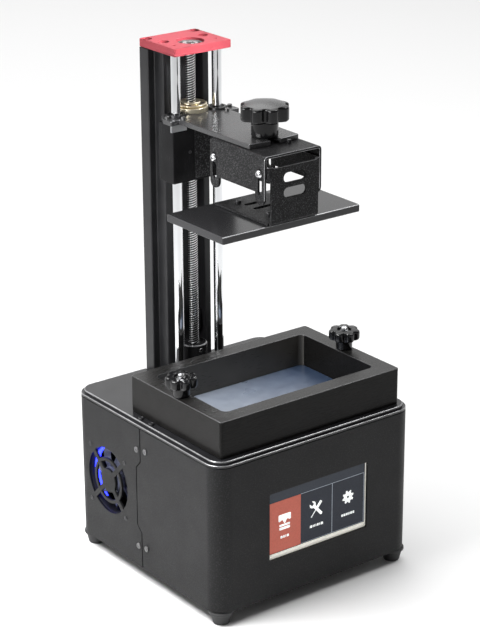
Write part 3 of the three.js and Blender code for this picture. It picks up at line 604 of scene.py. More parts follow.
def grille_slots(s, z):
    slots = []
    half_spoke = 2.25
    for quadrant in range(4):
        for r_in, r_out in ((10.5, 17.0), (20.0, 28.5)):
            start = 45 + 90 * quadrant
            a, b = (math.degrees(math.asin(half_spoke / r)) for r in (r_out, r_in))
            outer = arc(s, z, r_out, start + a, start + 90 - a, 14)
            inner = arc(s, z, r_in, start + b, start + 90 - b, 14)[::-1]
            slots.append(outer + inner)
    return slots


INLET = (60.0, 40.0)     # x and z of each socket in the back wall
INLET_R = 4.9
USB = (34.0, 40.0)
SWITCH = (-52.0, 40.0)


def rear_shell():
    first = SEAM_Y + SEAM_GAP
    side = HALF - CORNER - first
    back_middle = side + TURN + HALF - CORNER
    left_start = side + 2 * TURN + STRAIGHT
    holes = grille_slots(left_start + HALF - CORNER - FAN_Y, FAN_Z)
    holes.append(circle(back_middle - INLET[0], INLET[1], INLET_R, 32))
    for (x, z), half_x, half_z in ((USB, 6.3, 5.8), (SWITCH, 6.8, 9.8)):
        s = back_middle - x
        holes.append(rect(s - half_x, z - half_z, s + half_x, z + half_z, 0.6, 2))
    return shell(side, (HALF, first), 90, False, holes)


make("front_shell_wall", front_shell(), PAINT, "base", ["front_shell"])
make("rear_shell_wall", rear_shell(), PAINT, "base", ["rear_shell"])

LID_RIM = (137.8, 139.9)
LID_TOP = 142.4
LID_STEP = 2.6
ROD_X, ROD_Y = 20.4, 59.0
SCREW_Y = 66.5
LCD_BOX = (-66.0, -69.0, 66.0, 7.0)
NOTCH_Y = 72.2
COUPLER_HOLE_R = 11.8


def lid():
    holes = [rect(LCD_BOX[0] - GAP, LCD_BOX[1] - GAP, LCD_BOX[2] + GAP, LCD_BOX[3] + GAP, 0.6, 2),
             *rods(4.7, 40)]

    def plate_outline(reach, r):
        def corner(x, y, start):
            return arc(x * (reach - r), y * (reach - r), r, start, start + 90, 10)

        notch = [(29.0, reach), (29.0, 84.9), (22.8, 84.9), (22.8, NOTCH_Y)]
        # The coupler's round hole opens into the column's notch.
        half = math.degrees(math.acos((NOTCH_Y - SCREW_Y) / COUPLER_HOLE_R))
        bowl = arc(0, SCREW_Y, COUPLER_HOLE_R, 90 - half, 90 + half - 360, 28)
        mirrored = [(-x, y) for x, y in reversed(notch)]
        return (corner(-1, -1, 180) + corner(1, -1, 270) + corner(1, 1, 0)
                + notch + bowl + mirrored + corner(-1, 1, 90))

    rim = prism(plate_outline(HALF, CORNER), *LID_RIM, holes=holes, bevel=0.5, low=0.5, rounds=3)
    deck = prism(plate_outline(HALF - LID_STEP, CORNER - LID_STEP), LID_RIM[1], LID_TOP, holes=holes,
                 bevel=0.7, low=0, rounds=3)
    return rim + deck


# The lid's upper edges carry a painted highlight.
make("lid_plate", lid(), LID, "base", ["lid"], patches=[(LID_PAINTED_HIGHLIGHT, on_upper_edge)])

FOOT_XY = 89.3
foot = lathe(eased([(0, 0), (6.6, 0), (8.7, 8.8), (10.2, 9.2), (10.2, 11.4), (9.8, 11.8), (0, 11.8)], 0.7))
for end, sy in (("front", -1), ("rear", 1)):
    for hand, sx in SIDES:
        make(f"rubber_foot_{end}_{hand}", foot.at(sx * FOOT_XY, sy * FOOT_XY), RUBBER, "base",
             [f"foot_{end}_{hand}"])


# ---- screws ---------------------------------------------------------------------------------------
def cross(r, w):
    half = w / 2
    return both_sides([(half, -r), (half, -half), (r, -half), (r, half), (half, half), (half, r)])


def hexagon(r):
    return circle(0, 0, r, 6)


def head(r, h, recess, depth, dome=0.35):
    """A screw head of radius r and height h standing on z 0, with a recess cut depth deep in its top."""
    return (prism(circle(0, 0, r, 28), h - depth, h, [recess], bevel=min(dome, depth * 0.8), low=0, rounds=3)
            + prism(circle(0, 0, r, 28), 0, h - depth, bevel=0, low=0))


def pan_head(r=2.4, h=1.1):
    return head(r, h, cross(r * 0.55, r * 0.24), h * 0.55, h * 0.5)


def socket_head(r=2.6, h=2.4):
    return head(r, h, hexagon(r * 0.52), h * 0.5, 0.3)


def joined(solids):
    return sum(solids, Solid())


def on_wall(solid, side, y, z):
    """A screw head on the left (-1) or right (+1) wall."""
    return solid.turned(90 * side, "Y").at(side * HALF, y, z)


SEAM_SCREWS = ((-3.0, 119.7), (9.1, 117.7), (-2.4, 32.5), (9.0, 31.0))
heads = joined(on_wall(pan_head(2.5, 0.9), side, y, z) for side in (-1, 1) for y, z in SEAM_SCREWS)
make("seam_screws", heads, DULL_STEEL, "base")
heads = joined(on_wall(pan_head(1.9, 0.4), -1, y, z) for y, z in FAN_SCREWS)
make("fan_screws", heads, DARK_STEEL, "base")
heads = joined(socket_head(2.3, 1.5).at(x, y, LID_TOP) for x in (-93.9, 93.9) for y in (-4.0, 10.5))
make("deck_screws", heads, DARK_STEEL, "base")

# ---- touch screen ---------------------------------------------------------------------------------
SCREEN_Y = -97.7
TILE_X = (-48.4, -15.7, 16.7, 50.0)
TILE_Z = (49.5, 93.8)
ICON_Z = 76.2
LABEL_Z = 61.6


def panel(outline, lift, holes=(), z=0.05):
    """A flat piece of the display, z thick, standing lift in front of the screen's glass."""
    return prism(outline, 0, z, holes, bevel=0, low=0).along_y().at(0, SCREEN_Y - lift - z, 0)


def gear_outline(r, tooth, teeth):
    out = []
    for i in range(teeth):
        for part, radius in ((0.0, r), (0.22, r + tooth), (0.5, r + tooth), (0.72, r)):
            a = 2 * math.pi * (i + part) / teeth
            out.append((radius * math.cos(a), radius * math.sin(a)))
    return out


def tilted(outline, degrees, dx, dy):
    a = math.radians(degrees)
    c, s = math.cos(a), math.sin(a)
    return [(x * c - y * s + dx, x * s + y * c + dy) for x, y in outline]


def label(x, width, marks):
    """A row of short bars where a tile's caption stands."""
    bars, left, total = Solid(), x - width / 2, sum(marks)
    for k, mark in enumerate(marks):
        w = width * mark / total
        if k % 2 == 0:
            bar = rect(left, LABEL_Z - 1.1, left + w, LABEL_Z + 1.1, min(0.35, w * 0.4), 2)
            bars += panel(bar, 0.12)
        left += w
    return bars


def screen():
    x0, x1, z0, z1 = SCREEN_BOX
    glass = prism(rect(x0, z0, x1, z1, 0.4, 2), 0, 1.7, bevel=0.15)
    make("display_glass", glass.along_y().at(0, SCREEN_Y, 0), SCREEN_SLATE, "base",
         ["touch_screen"])
    header = rect(x0 + 0.2, TILE_Z[1] + 0.3, x1 - 0.9, z1 - 0.3)
    make("display_header", panel(header, 0.02), SCREEN_HEAD, "base")
    tile = rect(TILE_X[0] + 0.2, TILE_Z[0], TILE_X[1], TILE_Z[1])
    make("display_tile_active", panel(tile, 0.02), SCREEN_RED, "base")
    lines = panel(rect(TILE_X[1], TILE_Z[1] - 0.2, TILE_X[3], TILE_Z[1] + 0.2), 0.08)
    lines += panel(rect(TILE_X[1], TILE_Z[0], TILE_X[3], TILE_Z[0] + 0.35), 0.08)
    for x in TILE_X[2:]:
        lines += panel(rect(x - 0.25, TILE_Z[0], x + 0.25, TILE_Z[1]), 0.1)
    make("display_lines", lines, SCREEN_LINE, "base")
    x = (TILE_X[0] + TILE_X[1]) / 2
    tray = [(-5.6, 4.6), (-5.6, -0.2), (-2.6, -0.2), (0, -2.4), (2.6, -0.2), (5.6, -0.2), (5.6, 4.6)]
    icons = panel(rounded(shifted(tray, x, ICON_Z), 0.4, 2), 0.12)
    for low, high in ((-5.2, -3.4), (-8.2, -6.0)):
        icons += panel(rect(x - 5.3, ICON_Z + low, x + 5.3, ICON_Z + high, 0.4, 2), 0.12)
    x = (TILE_X[1] + TILE_X[2]) / 2
    wrench = ([(1.25, -6.6), (1.25, 3.0)] + arc(0, 6.0, 3.1, -60, 62, 8)
              + [(1.3, 6.3), (1.2, 5.4), (-1.2, 5.4), (-1.3, 6.3)] + arc(0, 6.0, 3.1, 118, 240, 8)
              + [(-1.25, 3.0), (-1.25, -6.6)] + arc(0, -6.6, 1.5, 200, 340, 6))
    driver = both_sides([(0.45, -8.4), (0.45, -1.2), (1.3, -0.8), (1.3, 6.8), (0.9, 7.6)])
    icons += panel(tilted(wrench, 42, x, ICON_Z), 0.16)
    icons += panel(tilted(driver, -40, x, ICON_Z), 0.12)
    x = (TILE_X[2] + TILE_X[3]) / 2
    gear = shifted(gear_outline(4.3, 1.6, 8), x, ICON_Z + 0.6)
    icons += panel(gear, 0.12, [circle(x, ICON_Z + 0.6, 1.1, 20)])
    captions = ((8.4, (3, 1, 2, 1, 1, 1, 3)), (13.4, (3, 1, 1, 1, 1, 1, 1, 1, 2, 1, 1, 1, 3)),
                (13.6, (3, 1, 3, 1, 2, 1, 2, 1, 1, 1, 3, 1, 3)))
    for k, (width, marks) in enumerate(captions):
        icons += label((TILE_X[k] + TILE_X[k + 1]) / 2, width, marks)
    make("display_icons", icons, SCREEN_WHITE, "base")


screen()

# ---- cooling fan ----------------------------------------------------------------------------------
FAN_X = (-97.7, -87.7)


def fan_frame():
    holes = [circle(FAN_Y, FAN_Z, 28.4, 72)]
    holes += [circle(y, z, 2, 20) for y, z in FAN_SCREWS]
    square = rect(FAN_Y - 30, FAN_Z - 30, FAN_Y + 30, FAN_Z + 30, 3)
    body = prism(square, FAN_X[0], FAN_X[1], holes, bevel=0.4)
    seat = prism(circle(FAN_Y, FAN_Z, 12), FAN_X[1] - 1.8, FAN_X[1], bevel=0.3)
    for k in range(3):
        bar = prism(rect(11, -1.5, 29, 1.5), FAN_X[1] - 1.8, FAN_X[1], bevel=0.3).turned(90 + 120 * k)
        seat += bar.at(FAN_Y, FAN_Z, 0)
    return (body + seat).along_x()


def fan_blade():
    """One swept, twisted blade: thin sections one after another along the radius."""
    rings = []
    for k in range(7):
        t = k / 6
        r = 11 + 15.6 * t
        chord = 5.2 + 3.2 * t
        pitch = math.radians(46 - 16 * t)
        sweep = math.radians(-6 + 20 * t)
        ring = []
        for i in range(12):
            a = 2 * math.pi * i / 12
            u, w = chord / 2 * math.cos(a), 0.45 * math.sin(a)
            w += 0.9 * (1 - (2 * u / chord) ** 2)
            around = (u * math.cos(pitch) - w * math.sin(pitch)) / r + sweep
            depth = u * math.sin(pitch) + w * math.cos(pitch)
            ring.append((r * math.cos(around), r * math.sin(around), depth * 0.8))
        rings.append(ring)
    return loft(rings)


def fan_rotor():
    hub = lathe(eased([(0, -4), (11.5, -4), (11.5, 2.4), (0, 2.4)], 1.2))
    for k in range(7):
        hub += fan_blade().turned(360 * k / 7)
    return hub.at(FAN_Y, FAN_Z, (FAN_X[0] + FAN_X[1]) / 2).along_x()


make("fan_housing", fan_frame(), PLASTIC, "base", ["fan_frame"])
make("fan_impeller", fan_rotor(), BLADE, "fan", ["fan_rotor"])
glow = arc(FAN_Y, FAN_Z, 28.3, -55, 75, 30) + arc(FAN_Y, FAN_Z, 27.5, -55, 75, 30)[::-1]
make("fan_light", prism(glow, FAN_X[0] + 3.5, FAN_X[1] - 2.2, bevel=0.2).along_x(), LED, "base")

# ---- Z axis ---------------------------------------------------------------------------------------
COLUMN_Z = (136.7, 421.7)
PLATE_TOP = 428.5
PLATE_LOW = 422.0
TOP_PLATE = (28.5, 48.4, 98.9)
TOP_SCREWS = ((-23.7, 93.6), (23.7, 93.6), (-19.3, 76.0), (19.3, 76.0))

column = both_sides([(16.7, 84.0), (16.7, 73.0), (22.2, 73.0), (22.2, 85.5), (28.4, 85.5), (28.4, 97.6)])
column_r = [0.8, 0.4, 0.6, 0.8, 0.6, 0.9, 0.9, 0.6, 0.8, 0.6, 0.4, 0.8]
make("column_extrusion", prism(rounded(column, column_r, 3), *COLUMN_Z, bevel=0.3), COLUMN, "base",
     ["column"])

for name, side in SIDES:
    make("guide_shaft_" + name, rod(4.0, COLUMN_Z[0], 425.2, 0.5, 64).at(side * ROD_X, ROD_Y), CHROME, "base",
         ["guide_rod_" + name])


def threaded(r_out, r_root, pitch, starts, z0, z1, steps=32):
    """A multi-start screw: the thread's corners run along the helix, and both ends are cut square."""
    profile = ((0.0, r_root), (0.2, r_root), (0.42, r_out), (0.78, r_out))
    lead, per = pitch * starts, len(profile)
    rows = int((z1 - z0 + 2 * lead) / pitch + 2) * per
    verts, faces = [], []
    for j in range(steps):
        a = 2 * math.pi * j / steps
        for k in range(rows):
            part, r = profile[k % per]
            verts.append((r * math.cos(a), r * math.sin(a),
                          z0 - lead + (k // per + part) * pitch + lead * (j / steps - 1)))
    for j in range(steps):
        shift = starts * per if j == steps - 1 else 0
        other = (j + 1) % steps
        for k in range(rows - 1 - shift):
            here, there = j * rows + k, other * rows + k + shift
            faces.append((here, there, there + 1, here + 1))
    bm = to_bmesh(Solid(verts, faces))
    for z, up in ((z0, -1), (z1, 1)):
        geometry = bm.verts[:] + bm.edges[:] + bm.faces[:]
        bmesh.ops.bisect_plane(bm, geom=geometry, dist=1e-5, plane_co=(0, 0, z), plane_no=(0, 0, up),
                               clear_outer=True)
    loose = [v for v in bm.verts if not v.link_faces]
    bmesh.ops.delete(bm, geom=loose, context="VERTS")
    bmesh.ops.edgeloop_fill(bm, edges=[e for e in bm.edges if e.is_boundary])
    bm.verts.index_update()
    solid = Solid([v.co.copy() for v in bm.verts], [[v.index for v in f.verts] for f in bm.faces])
    bm.free()
    return solid


# Faces near the screw's axis, the thread's roots, which take the painted shade.
def in_thread_root(centre, normal, width):
    return math.hypot(centre.x, centre.y - SCREW_Y) < 3.5


def on_outer_race(centre, normal, width):
    return math.hypot(centre.x, centre.y - SCREW_Y) > 6.0


screw = threaded(3.9, 3.05, 2.0, 4, 153.5, PLATE_TOP - 1.6)
# The thread's roots carry painted shade.
make("lead_screw_thread", screw.at(0, SCREW_Y), SCREW_STEEL, "screw", ["lead_screw"], crease=25,
     patches=[(THREAD_ROOT_SHADE, in_thread_root)])


def coupler():
    body = revolved([(4.2, 141), (10.5, 141), (10.5, 169), (4.2, 169)], 0.7, steps=48)
    screws = joined(socket_head(1.9, 0.5).turned(90, "Y").at(10.35, 0, z).turned(angle)
                    for z in (149.0, 164.6) for angle in (-92.0, 0.0))
    return body.at(0, SCREW_Y), screws.at(0, SCREW_Y)


sleeve, sleeve_screws = coupler()
# The sleeve's upper edges carry the painted edge highlight.
make("coupler_sleeve", sleeve, BLOCK_BLACK, "screw", ["shaft_coupler"],
     patches=[(EDGE_PAINTED_HIGHLIGHT, on_upper_edge)])
make("coupler_screws", sleeve_screws, STEEL, "screw")


def top_plate():
    x, y0, y1 = TOP_PLATE
    outline = rounded(both_sides([(x, y0), (x, y1)]), 1.6, 4)
    thin = [circle(sx, sy, 2.3, 24) for sx, sy in TOP_SCREWS]
    wide = [circle(sx, sy, 4.3, 32) for sx, sy in TOP_SCREWS]
    shafts = rods(4.3, 32)
    pins = [circle(side * ROD_X, ROD_Y + 1, 1.3, 20) for side in (-1, 1)]
    bearing, lip = circle(0, SCREW_Y, 11.3, 56), circle(0, SCREW_Y, 9, 48)
    return (prism(outline, PLATE_LOW, 423.2, [*thin, *shafts, lip], bevel=0, low=0.35)
            + prism(outline, 423.2, 424.1, [*thin, *shafts, bearing], bevel=0, low=0)
            + prism(outline, 424.1, 425.5, [*wide, *shafts, bearing], bevel=0, low=0)
            + prism(outline, 425.5, PLATE_TOP, [*wide, *pins, bearing], bevel=0.35, low=0))


make("top_plate_red", top_plate(), RED, "base", ["top_plate"])
heads = joined(socket_head(3.6, 1.9).at(x, y, 424.4) for x, y in TOP_SCREWS)
make("top_plate_screws", heads, STEEL, "base",
     [f"top_screw_{k}" for k in (1, 2, 3, 4)])

races = [(4.2, 423.5), (11, 423.5), (11, 425.9), (9.5, 425.9), (9.4, 425.5), (6.2, 425.5), (6.1, 425.9),
         (4.2, 425.9)]
race_radii = [0.2, 0.4, 0.4, 0.1, 0.1, 0.1, 0.1, 0.3]
make("top_ball_bearing", revolved(races, race_radii, steps=64).at(0, SCREW_Y), STEEL, "base",
     ["top_bearing"], patches=[(DULL_STEEL, on_outer_race)])

# ---- carriage -------------------------------------------------------------------------------------
ARM = (367.2, 371.2)
ARM_FRONT = -44.6
BORE_R = 7.8
BLOCK = (31.0, 48.5, 68.0, 318.0, 366.9)
KNOB_AT = (0.0, -31.0)


def carriage_block():
    x, y0, y1, z0, z1 = BLOCK
    outline = both_sides([(x, y0), (x, y1), (11.3, y1), (11.3, 55.4)])
    outline = rounded(outline, [0.7, 0.7, 0.5, 0.3, 0.3, 0.5, 0.7, 0.7], 3)
    return prism(outline, z0, z1, rods(BORE_R), bevel=0.45)


def carriage_arm():
    slot = 5.0
    right = [(25.8, ARM_FRONT), (25.8, 47.0), (34.0, 47.0), (34.0, 57.0), (29.8, 65.5), (25.5, 69.0),
             (15.3, 69.0), (15.3, 80.5)]
    radii = [2.6, 0.6, 0.8, 0.8, 0.8, 0.8, 1.0, 1.0]
    inner = [(slot, ARM_FRONT)] + arc(*KNOB_AT, slot, 0, 180, 16) + [(-slot, ARM_FRONT)]
    outline = rounded(both_sides(right), radii + radii[::-1], 4)
    holes = rods(BORE_R) + [circle(0, SCREW_Y, 5.6, 36)]
    return prism(outline + inner[::-1], *ARM, holes, bevel=0.4)


make("carriage_body", carriage_block(), BLOCK_BLACK, "carriage", ["carriage_block"])
# The plate's front upper edges carry the painted edge highlight.
make("carriage_plate", carriage_arm(), ARM_BLACK, "carriage", ["carriage_arm"],
     patches=[(EDGE_PAINTED_HIGHLIGHT, on_front_edge)])

cover = prism(rect(-10, BLOCK[3] + 1.6, 10, BLOCK[4] - 0.3, 0.6, 3), 0, 0.8, bevel=0.3, low=0)
make("carriage_front_sheet", cover.along_y().at(0, BLOCK[1] - 0.8, 0), BRACKET, "carriage")
lips = Solid()
for x in (-33.6, 18.4):
    lip = prism(rect(x, 361.6, x + 15.2, ARM[0], 0.5, 3), 0, 1.4, bevel=0.3)
    lips += lip.along_y().at(0, BLOCK[1] - 1.5, 0)
make("carriage_flange_lips", lips, BARE, "carriage")


def linear_bearing(z0, z1):
    """A linear ball bearing: a ground sleeve, a groove near each end, and a seal round the rod."""
    section = [(4.3, z0 + 0.4), (6.2, z0 + 0.4), (6.4, z0), (7.5, z0)]
    for low, high in ((z0 + 3.2, z0 + 4.2), (z1 - 4.2, z1 - 3.2)):
        section += [(7.5, low), (7.2, low), (7.2, high), (7.5, high)]
    section += [(7.5, z1), (6.4, z1), (6.2, z1 - 0.4), (4.3, z1 - 0.4)]
    return revolved(section, 0.15)


for level, z0 in (("upper", 348.2), ("lower", 318.5)):
    for name, side in SIDES:
        make(f"bushing_{name}_{level}", linear_bearing(z0, z0 + 24).at(side * ROD_X, ROD_Y), DARK_STEEL,
             "carriage", [f"bearing_{name}_{level}"])

ARM_SCREWS = ((-31.2, 56.0), (31.2, 56.0), (-21.8, 47.2), (21.8, 47.2))
heads = joined(socket_head(1.9, 1.9).at(x, y, ARM[1]) for x, y in ARM_SCREWS)
make("carriage_screws", heads, DULL_STEEL, "carriage")
heads = joined(socket_head(1.5, 0.6).turned(90, "X").at(x, BLOCK[1], 342.5) for x in (-14.8, 14.8))
make("carriage_grub_screws", heads, DARK_STEEL, "carriage")


def lead_nut():
    z = ARM[1]
    section = [(4.3, 352), (5.2, 352), (5.2, z + 0.3), (13.2, z + 0.3), (13.2, z + 3.4), (12.3, z + 3.4),
               (12.3, z + 5.8), (7.0, z + 5.8), (7.0, z + 6.8), (4.3, z + 6.8)]
    return revolved(section, 0.3, 3, 64).at(0, SCREW_Y)


make("lead_nut_brass", lead_nut(), BRASS, "carriage", ["lead_nut"])
one = socket_head(1.75, 1.0).at(9.7, 0, 0)
heads = joined(one.turned(45 + 90 * k).at(0, SCREW_Y, ARM[1] + 5.2) for k in range(4))
make("lead_nut_screws", heads, DARK_STEEL, "carriage")

# ---- build head -----------------------------------------------------------------------------------
HOOD_X, HOOD_Y, HOOD_TOP, HOOD_BEND = 28.0, (-66.5, 3.2), 366.9, 3.4
HOOD_TIP, HOOD_WALL = 327.7, 337.0
TONGUE = 11.8
TONGUES = (HOOD_Y[0] + TONGUE / 2, HOOD_Y[1] - TONGUE / 2)
SLOT_Z, SLOT_W = (335.5, 356.5), 4.6
LEVEL_Z = 352.4


def hood():
    upright = HOOD_TOP - HOOD_BEND - HOOD_TIP
    across = 2 * (HOOD_X - HOOD_BEND)
    total = 2 * upright + across + HOOD_BEND * math.pi
    y0, y1 = HOOD_Y
    r, low = TONGUE / 2, HOOD_WALL - HOOD_TIP
    end = ([(HOOD_BEND + upright, y0)] + arc(r, TONGUES[0], r, 270, 90, 12)
           + rounded([(low + 6, y0 + TONGUE), (low, y0 + TONGUE), (low, y1 - TONGUE), (low + 6, y1 - TONGUE)],
                     [0, 1.2, 1.2, 0], 3)[1:-1]
           + arc(r, TONGUES[1], r, 270, 90, 12) + [(HOOD_BEND + upright, y1)])
    outline = end + [(total - s, y) for s, y in reversed(end)]
    a, b = SLOT_Z[0] - HOOD_TIP, SLOT_Z[1] - HOOD_TIP
    half = SLOT_W / 2
    holes = []
    for y in TONGUES:
        slot = rect(a, y - half, b, y + half, half - 0.01, 6)
        holes += [slot, [(total - s, v) for s, v in slot]]
    path = [(-HOOD_X, HOOD_TIP), 90, ("run", upright), ("turn", HOOD_BEND, -90), ("run", across),
            ("turn", HOOD_BEND, -90), ("run", upright)]
    return folded(prism(outline, -2, 0, holes, bevel=0.3), path, outward=1).along_y()


# Faces under the hood's top, which take the dark block look as painted shade.
def in_painted_shade_under_hood(centre, normal, width):
    return normal.z < -0.5 and centre.z > HOOD_TOP - 6


# Front edge faces of the hood, which take the painted edge highlight.
def on_hood_front(centre, normal, width):
    return centre.y < HOOD_Y[0] + 0.4 and -FLAT < normal.y < -0.2


# Painted shade under the hood's top, and a painted highlight on its front edges.
make("hood_sheet", hood(), BRACKET, "build_head", ["hood_bracket"],
     patches=[(BLOCK_BLACK, in_painted_shade_under_hood), (EDGE_PAINTED_HIGHLIGHT, on_hood_front)])
make("hood_pin", rod(1.7, 0, 3.4, 0.5, 28).at(11.0, -47.5, HOOD_TOP), DARK_STEEL, "build_head")
make("clamp_bolt", threaded(4.0, 3.5, 1.25, 1, HOOD_TOP + 0.2, 392, 28).at(*KNOB_AT), STEEL, "build_head",
     ["clamp_stud"], crease=25)

SADDLE_X, SADDLE_Y, SADDLE_Z = 24.5, (-69.0, 2.0), 311.5
WALL_X, WALL_TOP = 23.0, 357.4
RAIL_X, RAIL_Z = 25.6, (346.0, 358.5)
FOLD = 3.0


def saddle():
    """The lower bracket: a sheet under the head, bent up in front, with an ear bent back on each side."""
    floor = SADDLE_Y[1] - SADDLE_Y[0] - FOLD
    bend = FOLD * math.pi / 2

    def s_at(z):
        return floor + bend + z - SADDLE_Z - FOLD

    ear = RAIL_X - FOLD
    right = [(0, SADDLE_X), (floor, SADDLE_X), (floor, WALL_X), (s_at(RAIL_Z[0]), WALL_X),
             (s_at(RAIL_Z[0]), ear), (s_at(RAIL_Z[1]), ear), (s_at(RAIL_Z[1]), WALL_X - 1.4),
             (s_at(WALL_TOP), WALL_X - 2.4)]
    outline = right + [(s, -x) for s, x in reversed(right)]
    holes = [rect(s_at(z) - 4, -11, s_at(z) + 4, 11, 3.9, 6) for z in (348.0, 336.0)]
    for y in (-18.0, -30.0):
        s = SADDLE_Y[1] - y
        holes.append(rect(s - 2.2, -10, s + 2.2, 10, 2.1, 5))
    path = [(SADDLE_Y[1], SADDLE_Z), 180, ("run", floor), ("turn", FOLD, -90),
            ("run", WALL_TOP - SADDLE_Z - FOLD)]
    body = folded(prism(outline, -2, 0, holes, bevel=0.25), path, outward=1).along_x()
    holes = [circle(SADDLE_Y[1] - y, LEVEL_Z, 2.3, 24) for y in TONGUES]
    for side in (-1, 1):
        strip = prism(rect(0, RAIL_Z[0], floor + bend, RAIL_Z[1], 0.5, 2), -1.8, 0, holes, bevel=0.25)
        way = [(side * RAIL_X, SADDLE_Y[1]), -90, ("run", floor), ("turn", FOLD, -90 * side)]
        body += folded(strip, way, outward=side, bends=8)
    return body


def on_wall_top(centre, normal, width):
    return centre.z > WALL_TOP - 0.4 and 0.2 < normal.z < FLAT


# The front wall's top edge carries the painted edge highlight.
make("saddle_sheet", saddle(), BRACKET, "platform", ["saddle_bracket"],
     patches=[(EDGE_PAINTED_HIGHLIGHT, on_wall_top)])
heads = joined(socket_head(2.6, 2.2).at(x, y, SADDLE_Z + 2) for x in (-10.5, 10.5) for y in (-10.0, -50.0))
make("saddle_screws", heads, DARK_STEEL, "platform")

button = lathe([(0, 0), (3.3, 0), (3.3, 0.5), (3.0, 1.3), (2.3, 2.0), (1.6, 2.3), (1.3, 2.3), (1.3, 1.2),
                (0, 1.2)], 40)
button += rod(2.0, -5.9, 0.1, 0.2, 28)
for end, y in (("front", TONGUES[0]), ("rear", TONGUES[1])):
    for name, side in SIDES:
        bolt = button.turned(90 * side, "Y").at(side * (HOOD_X + 0.3), y, LEVEL_Z)
        make(f"level_bolt_{end}_{name}", bolt, STEEL, "platform", [f"level_screw_{end}_{name}"])

PLATE = (67.6, -66.7, 7.3, 305.2, 311.2)
slab = prism(rect(-PLATE[0], PLATE[1], PLATE[0], PLATE[2], 1.2, 4), PLATE[3], PLATE[4], bevel=0.6, rounds=3)
# The slab's front upper edges carry the painted edge highlight.
make("build_plate_slab", slab, ANODISED, "platform", ["build_plate"],
     patches=[(EDGE_PAINTED_HIGHLIGHT, on_front_edge)])


def knob(radius, depth, lobes, levels, steps, sharp, hub, z0, bore):
    """A star knob's grip, through levels of (height, scale, share of the scallops), and the hub below it."""
    rings = []
    for z, scale, share in levels:
        ring = star(radius, depth * share, lobes, steps, sharp)
        rings.append([(x * scale, y * scale, z) for x, y in ring])
    low = levels[0][0]
    stem = lathe(eased([(bore, z0), (hub * 0.96, z0), (hub, z0 + 0.8), (hub, low + 0.3), (bore, low + 0.3),
                        (bore, z0)], 0.3), 56)
    return loft(rings), stem


CLAMP_LEVELS = ((384.6, 0.88, 0.8), (384.9, 0.95, 0.95), (385.6, 0.985, 1), (386.6, 1, 1), (394.6, 1, 1),
                (395.5, 0.99, 1), (396.1, 0.965, 0.95), (396.5, 0.92, 0.8), (396.75, 0.86, 0.4),
                (396.85, 0.8, 0), (397.2, 0.765, 0), (397.9, 0.64, 0), (398.6, 0.46, 0), (399.1, 0.27, 0),
                (399.3, 0.12, 0), (399.35, 0.03, 0))
KNOB_TURN = 30.5
CROWN_Z = 396.9


def on_crown(centre, normal, width):
    return centre.z > CROWN_Z


grip, stem = knob(19.8, 4.2, 8, CLAMP_LEVELS, 256, 1.7, 10.7, ARM[1] + 0.3, 4.3)
grip = grip.turned(KNOB_TURN)
make("clamp_knob_star", (grip + stem).at(*KNOB_AT), KNOB, "clamp_knob", ["clamp_knob"],
     patches=[(KNOB_TOP, on_crown)])

# ---- vat ------------------------------------------------------------------------------------------
VAT = (90.3, -92.3, 29.3, 142.7, 173.7)
BASIN = (75.7, -77.6, 15.4)
POCKET = 3.4
POCKET_Z = 146.0
STUD_X = 83.2
VAT_Y = -31.0


def ring_outline(grow, r):
    return rect(-BASIN[0] - grow, BASIN[1] - grow, BASIN[0] + grow, BASIN[2] + grow, r, 8)


def vat_body():
    x, y0, y1, z0, z1 = VAT
    outer = rect(-x, y0, x, y1, 2.2, 5)
    bores = [circle(side * STUD_X, VAT_Y, 3.4, 28) for side in (-1, 1)]
    return (prism(outer, z0, POCKET_Z, [ring_outline(POCKET, 6), *bores], bevel=0, low=0.5)
            + prism(outer, POCKET_Z, z1, [ring_outline(0, 5), *bores], bevel=0.55, low=0, rounds=3))


def in_basin(centre, normal, width):
    """True on the basin's two long walls and their corners."""
    inside = abs(centre.x) < BASIN[0] + 1 and BASIN[1] - 1 < centre.y < BASIN[2] + 1
    return inside and abs(normal.x) < 0.9


def on_vat_top(centre, normal, width):
    return normal.z > FLAT and centre.z > VAT[4] - 0.1


# The vat's upper edges carry a painted highlight.
make("vat_walls", vat_body(), VAT_BLACK, "vat", ["vat_body"],
     patches=[(VAT_INNER, in_basin), (VAT_TOP, on_vat_top), (VAT_PAINTED_HIGHLIGHT, on_upper_edge)])


def film():
    """The film in the vat's floor, drawn tight with a slight bag towards its middle."""
    edge = 3.1
    nx, ny = 48, 30
    x0, x1, y0, y1 = -BASIN[0] - edge, BASIN[0] + edge, BASIN[1] - edge, BASIN[2] + edge
    top, low = [], []
    for j in range(ny + 1):
        for i in range(nx + 1):
            u, v = i / nx, j / ny
            sag = 0.22 * math.sin(math.pi * u) * math.sin(math.pi * v)
            ripple = 0.02 * math.sin(9 * u + 4 * v) + 0.015 * math.sin(17 * v - 5 * u)
            edge_fade = min(1, 8 * min(u, 1 - u, v, 1 - v))
            z = 145.8 - sag - ripple * edge_fade
            top.append((x0 + (x1 - x0) * u, y0 + (y1 - y0) * v, z))
            low.append((x0 + (x1 - x0) * u, y0 + (y1 - y0) * v, z - 0.15))
    n = len(top)

    def at(i, j):
        return j * (nx + 1) + i

    faces = []
    for j in range(ny):
        for i in range(nx):
            quad = (at(i, j), at(i + 1, j), at(i + 1, j + 1), at(i, j + 1))
            faces += [quad, tuple(k + n for k in reversed(quad))]
    rim = ([at(i, 0) for i in range(nx)] + [at(nx, j) for j in range(ny)]
           + [at(i, ny) for i in range(nx, 0, -1)] + [at(0, j) for j in range(ny, 0, -1)])
    faces += [(a, a + n, b + n, b) for a, b in zip(rim, rim[1:] + rim[:1])]
    return Solid(top + low, faces)


# The film's colour carries a painted sheen, pale on the left and dark on the right.
make("vat_film_sheet", film(), FILM_PAINTED_SHEEN, "vat", ["vat_film"])

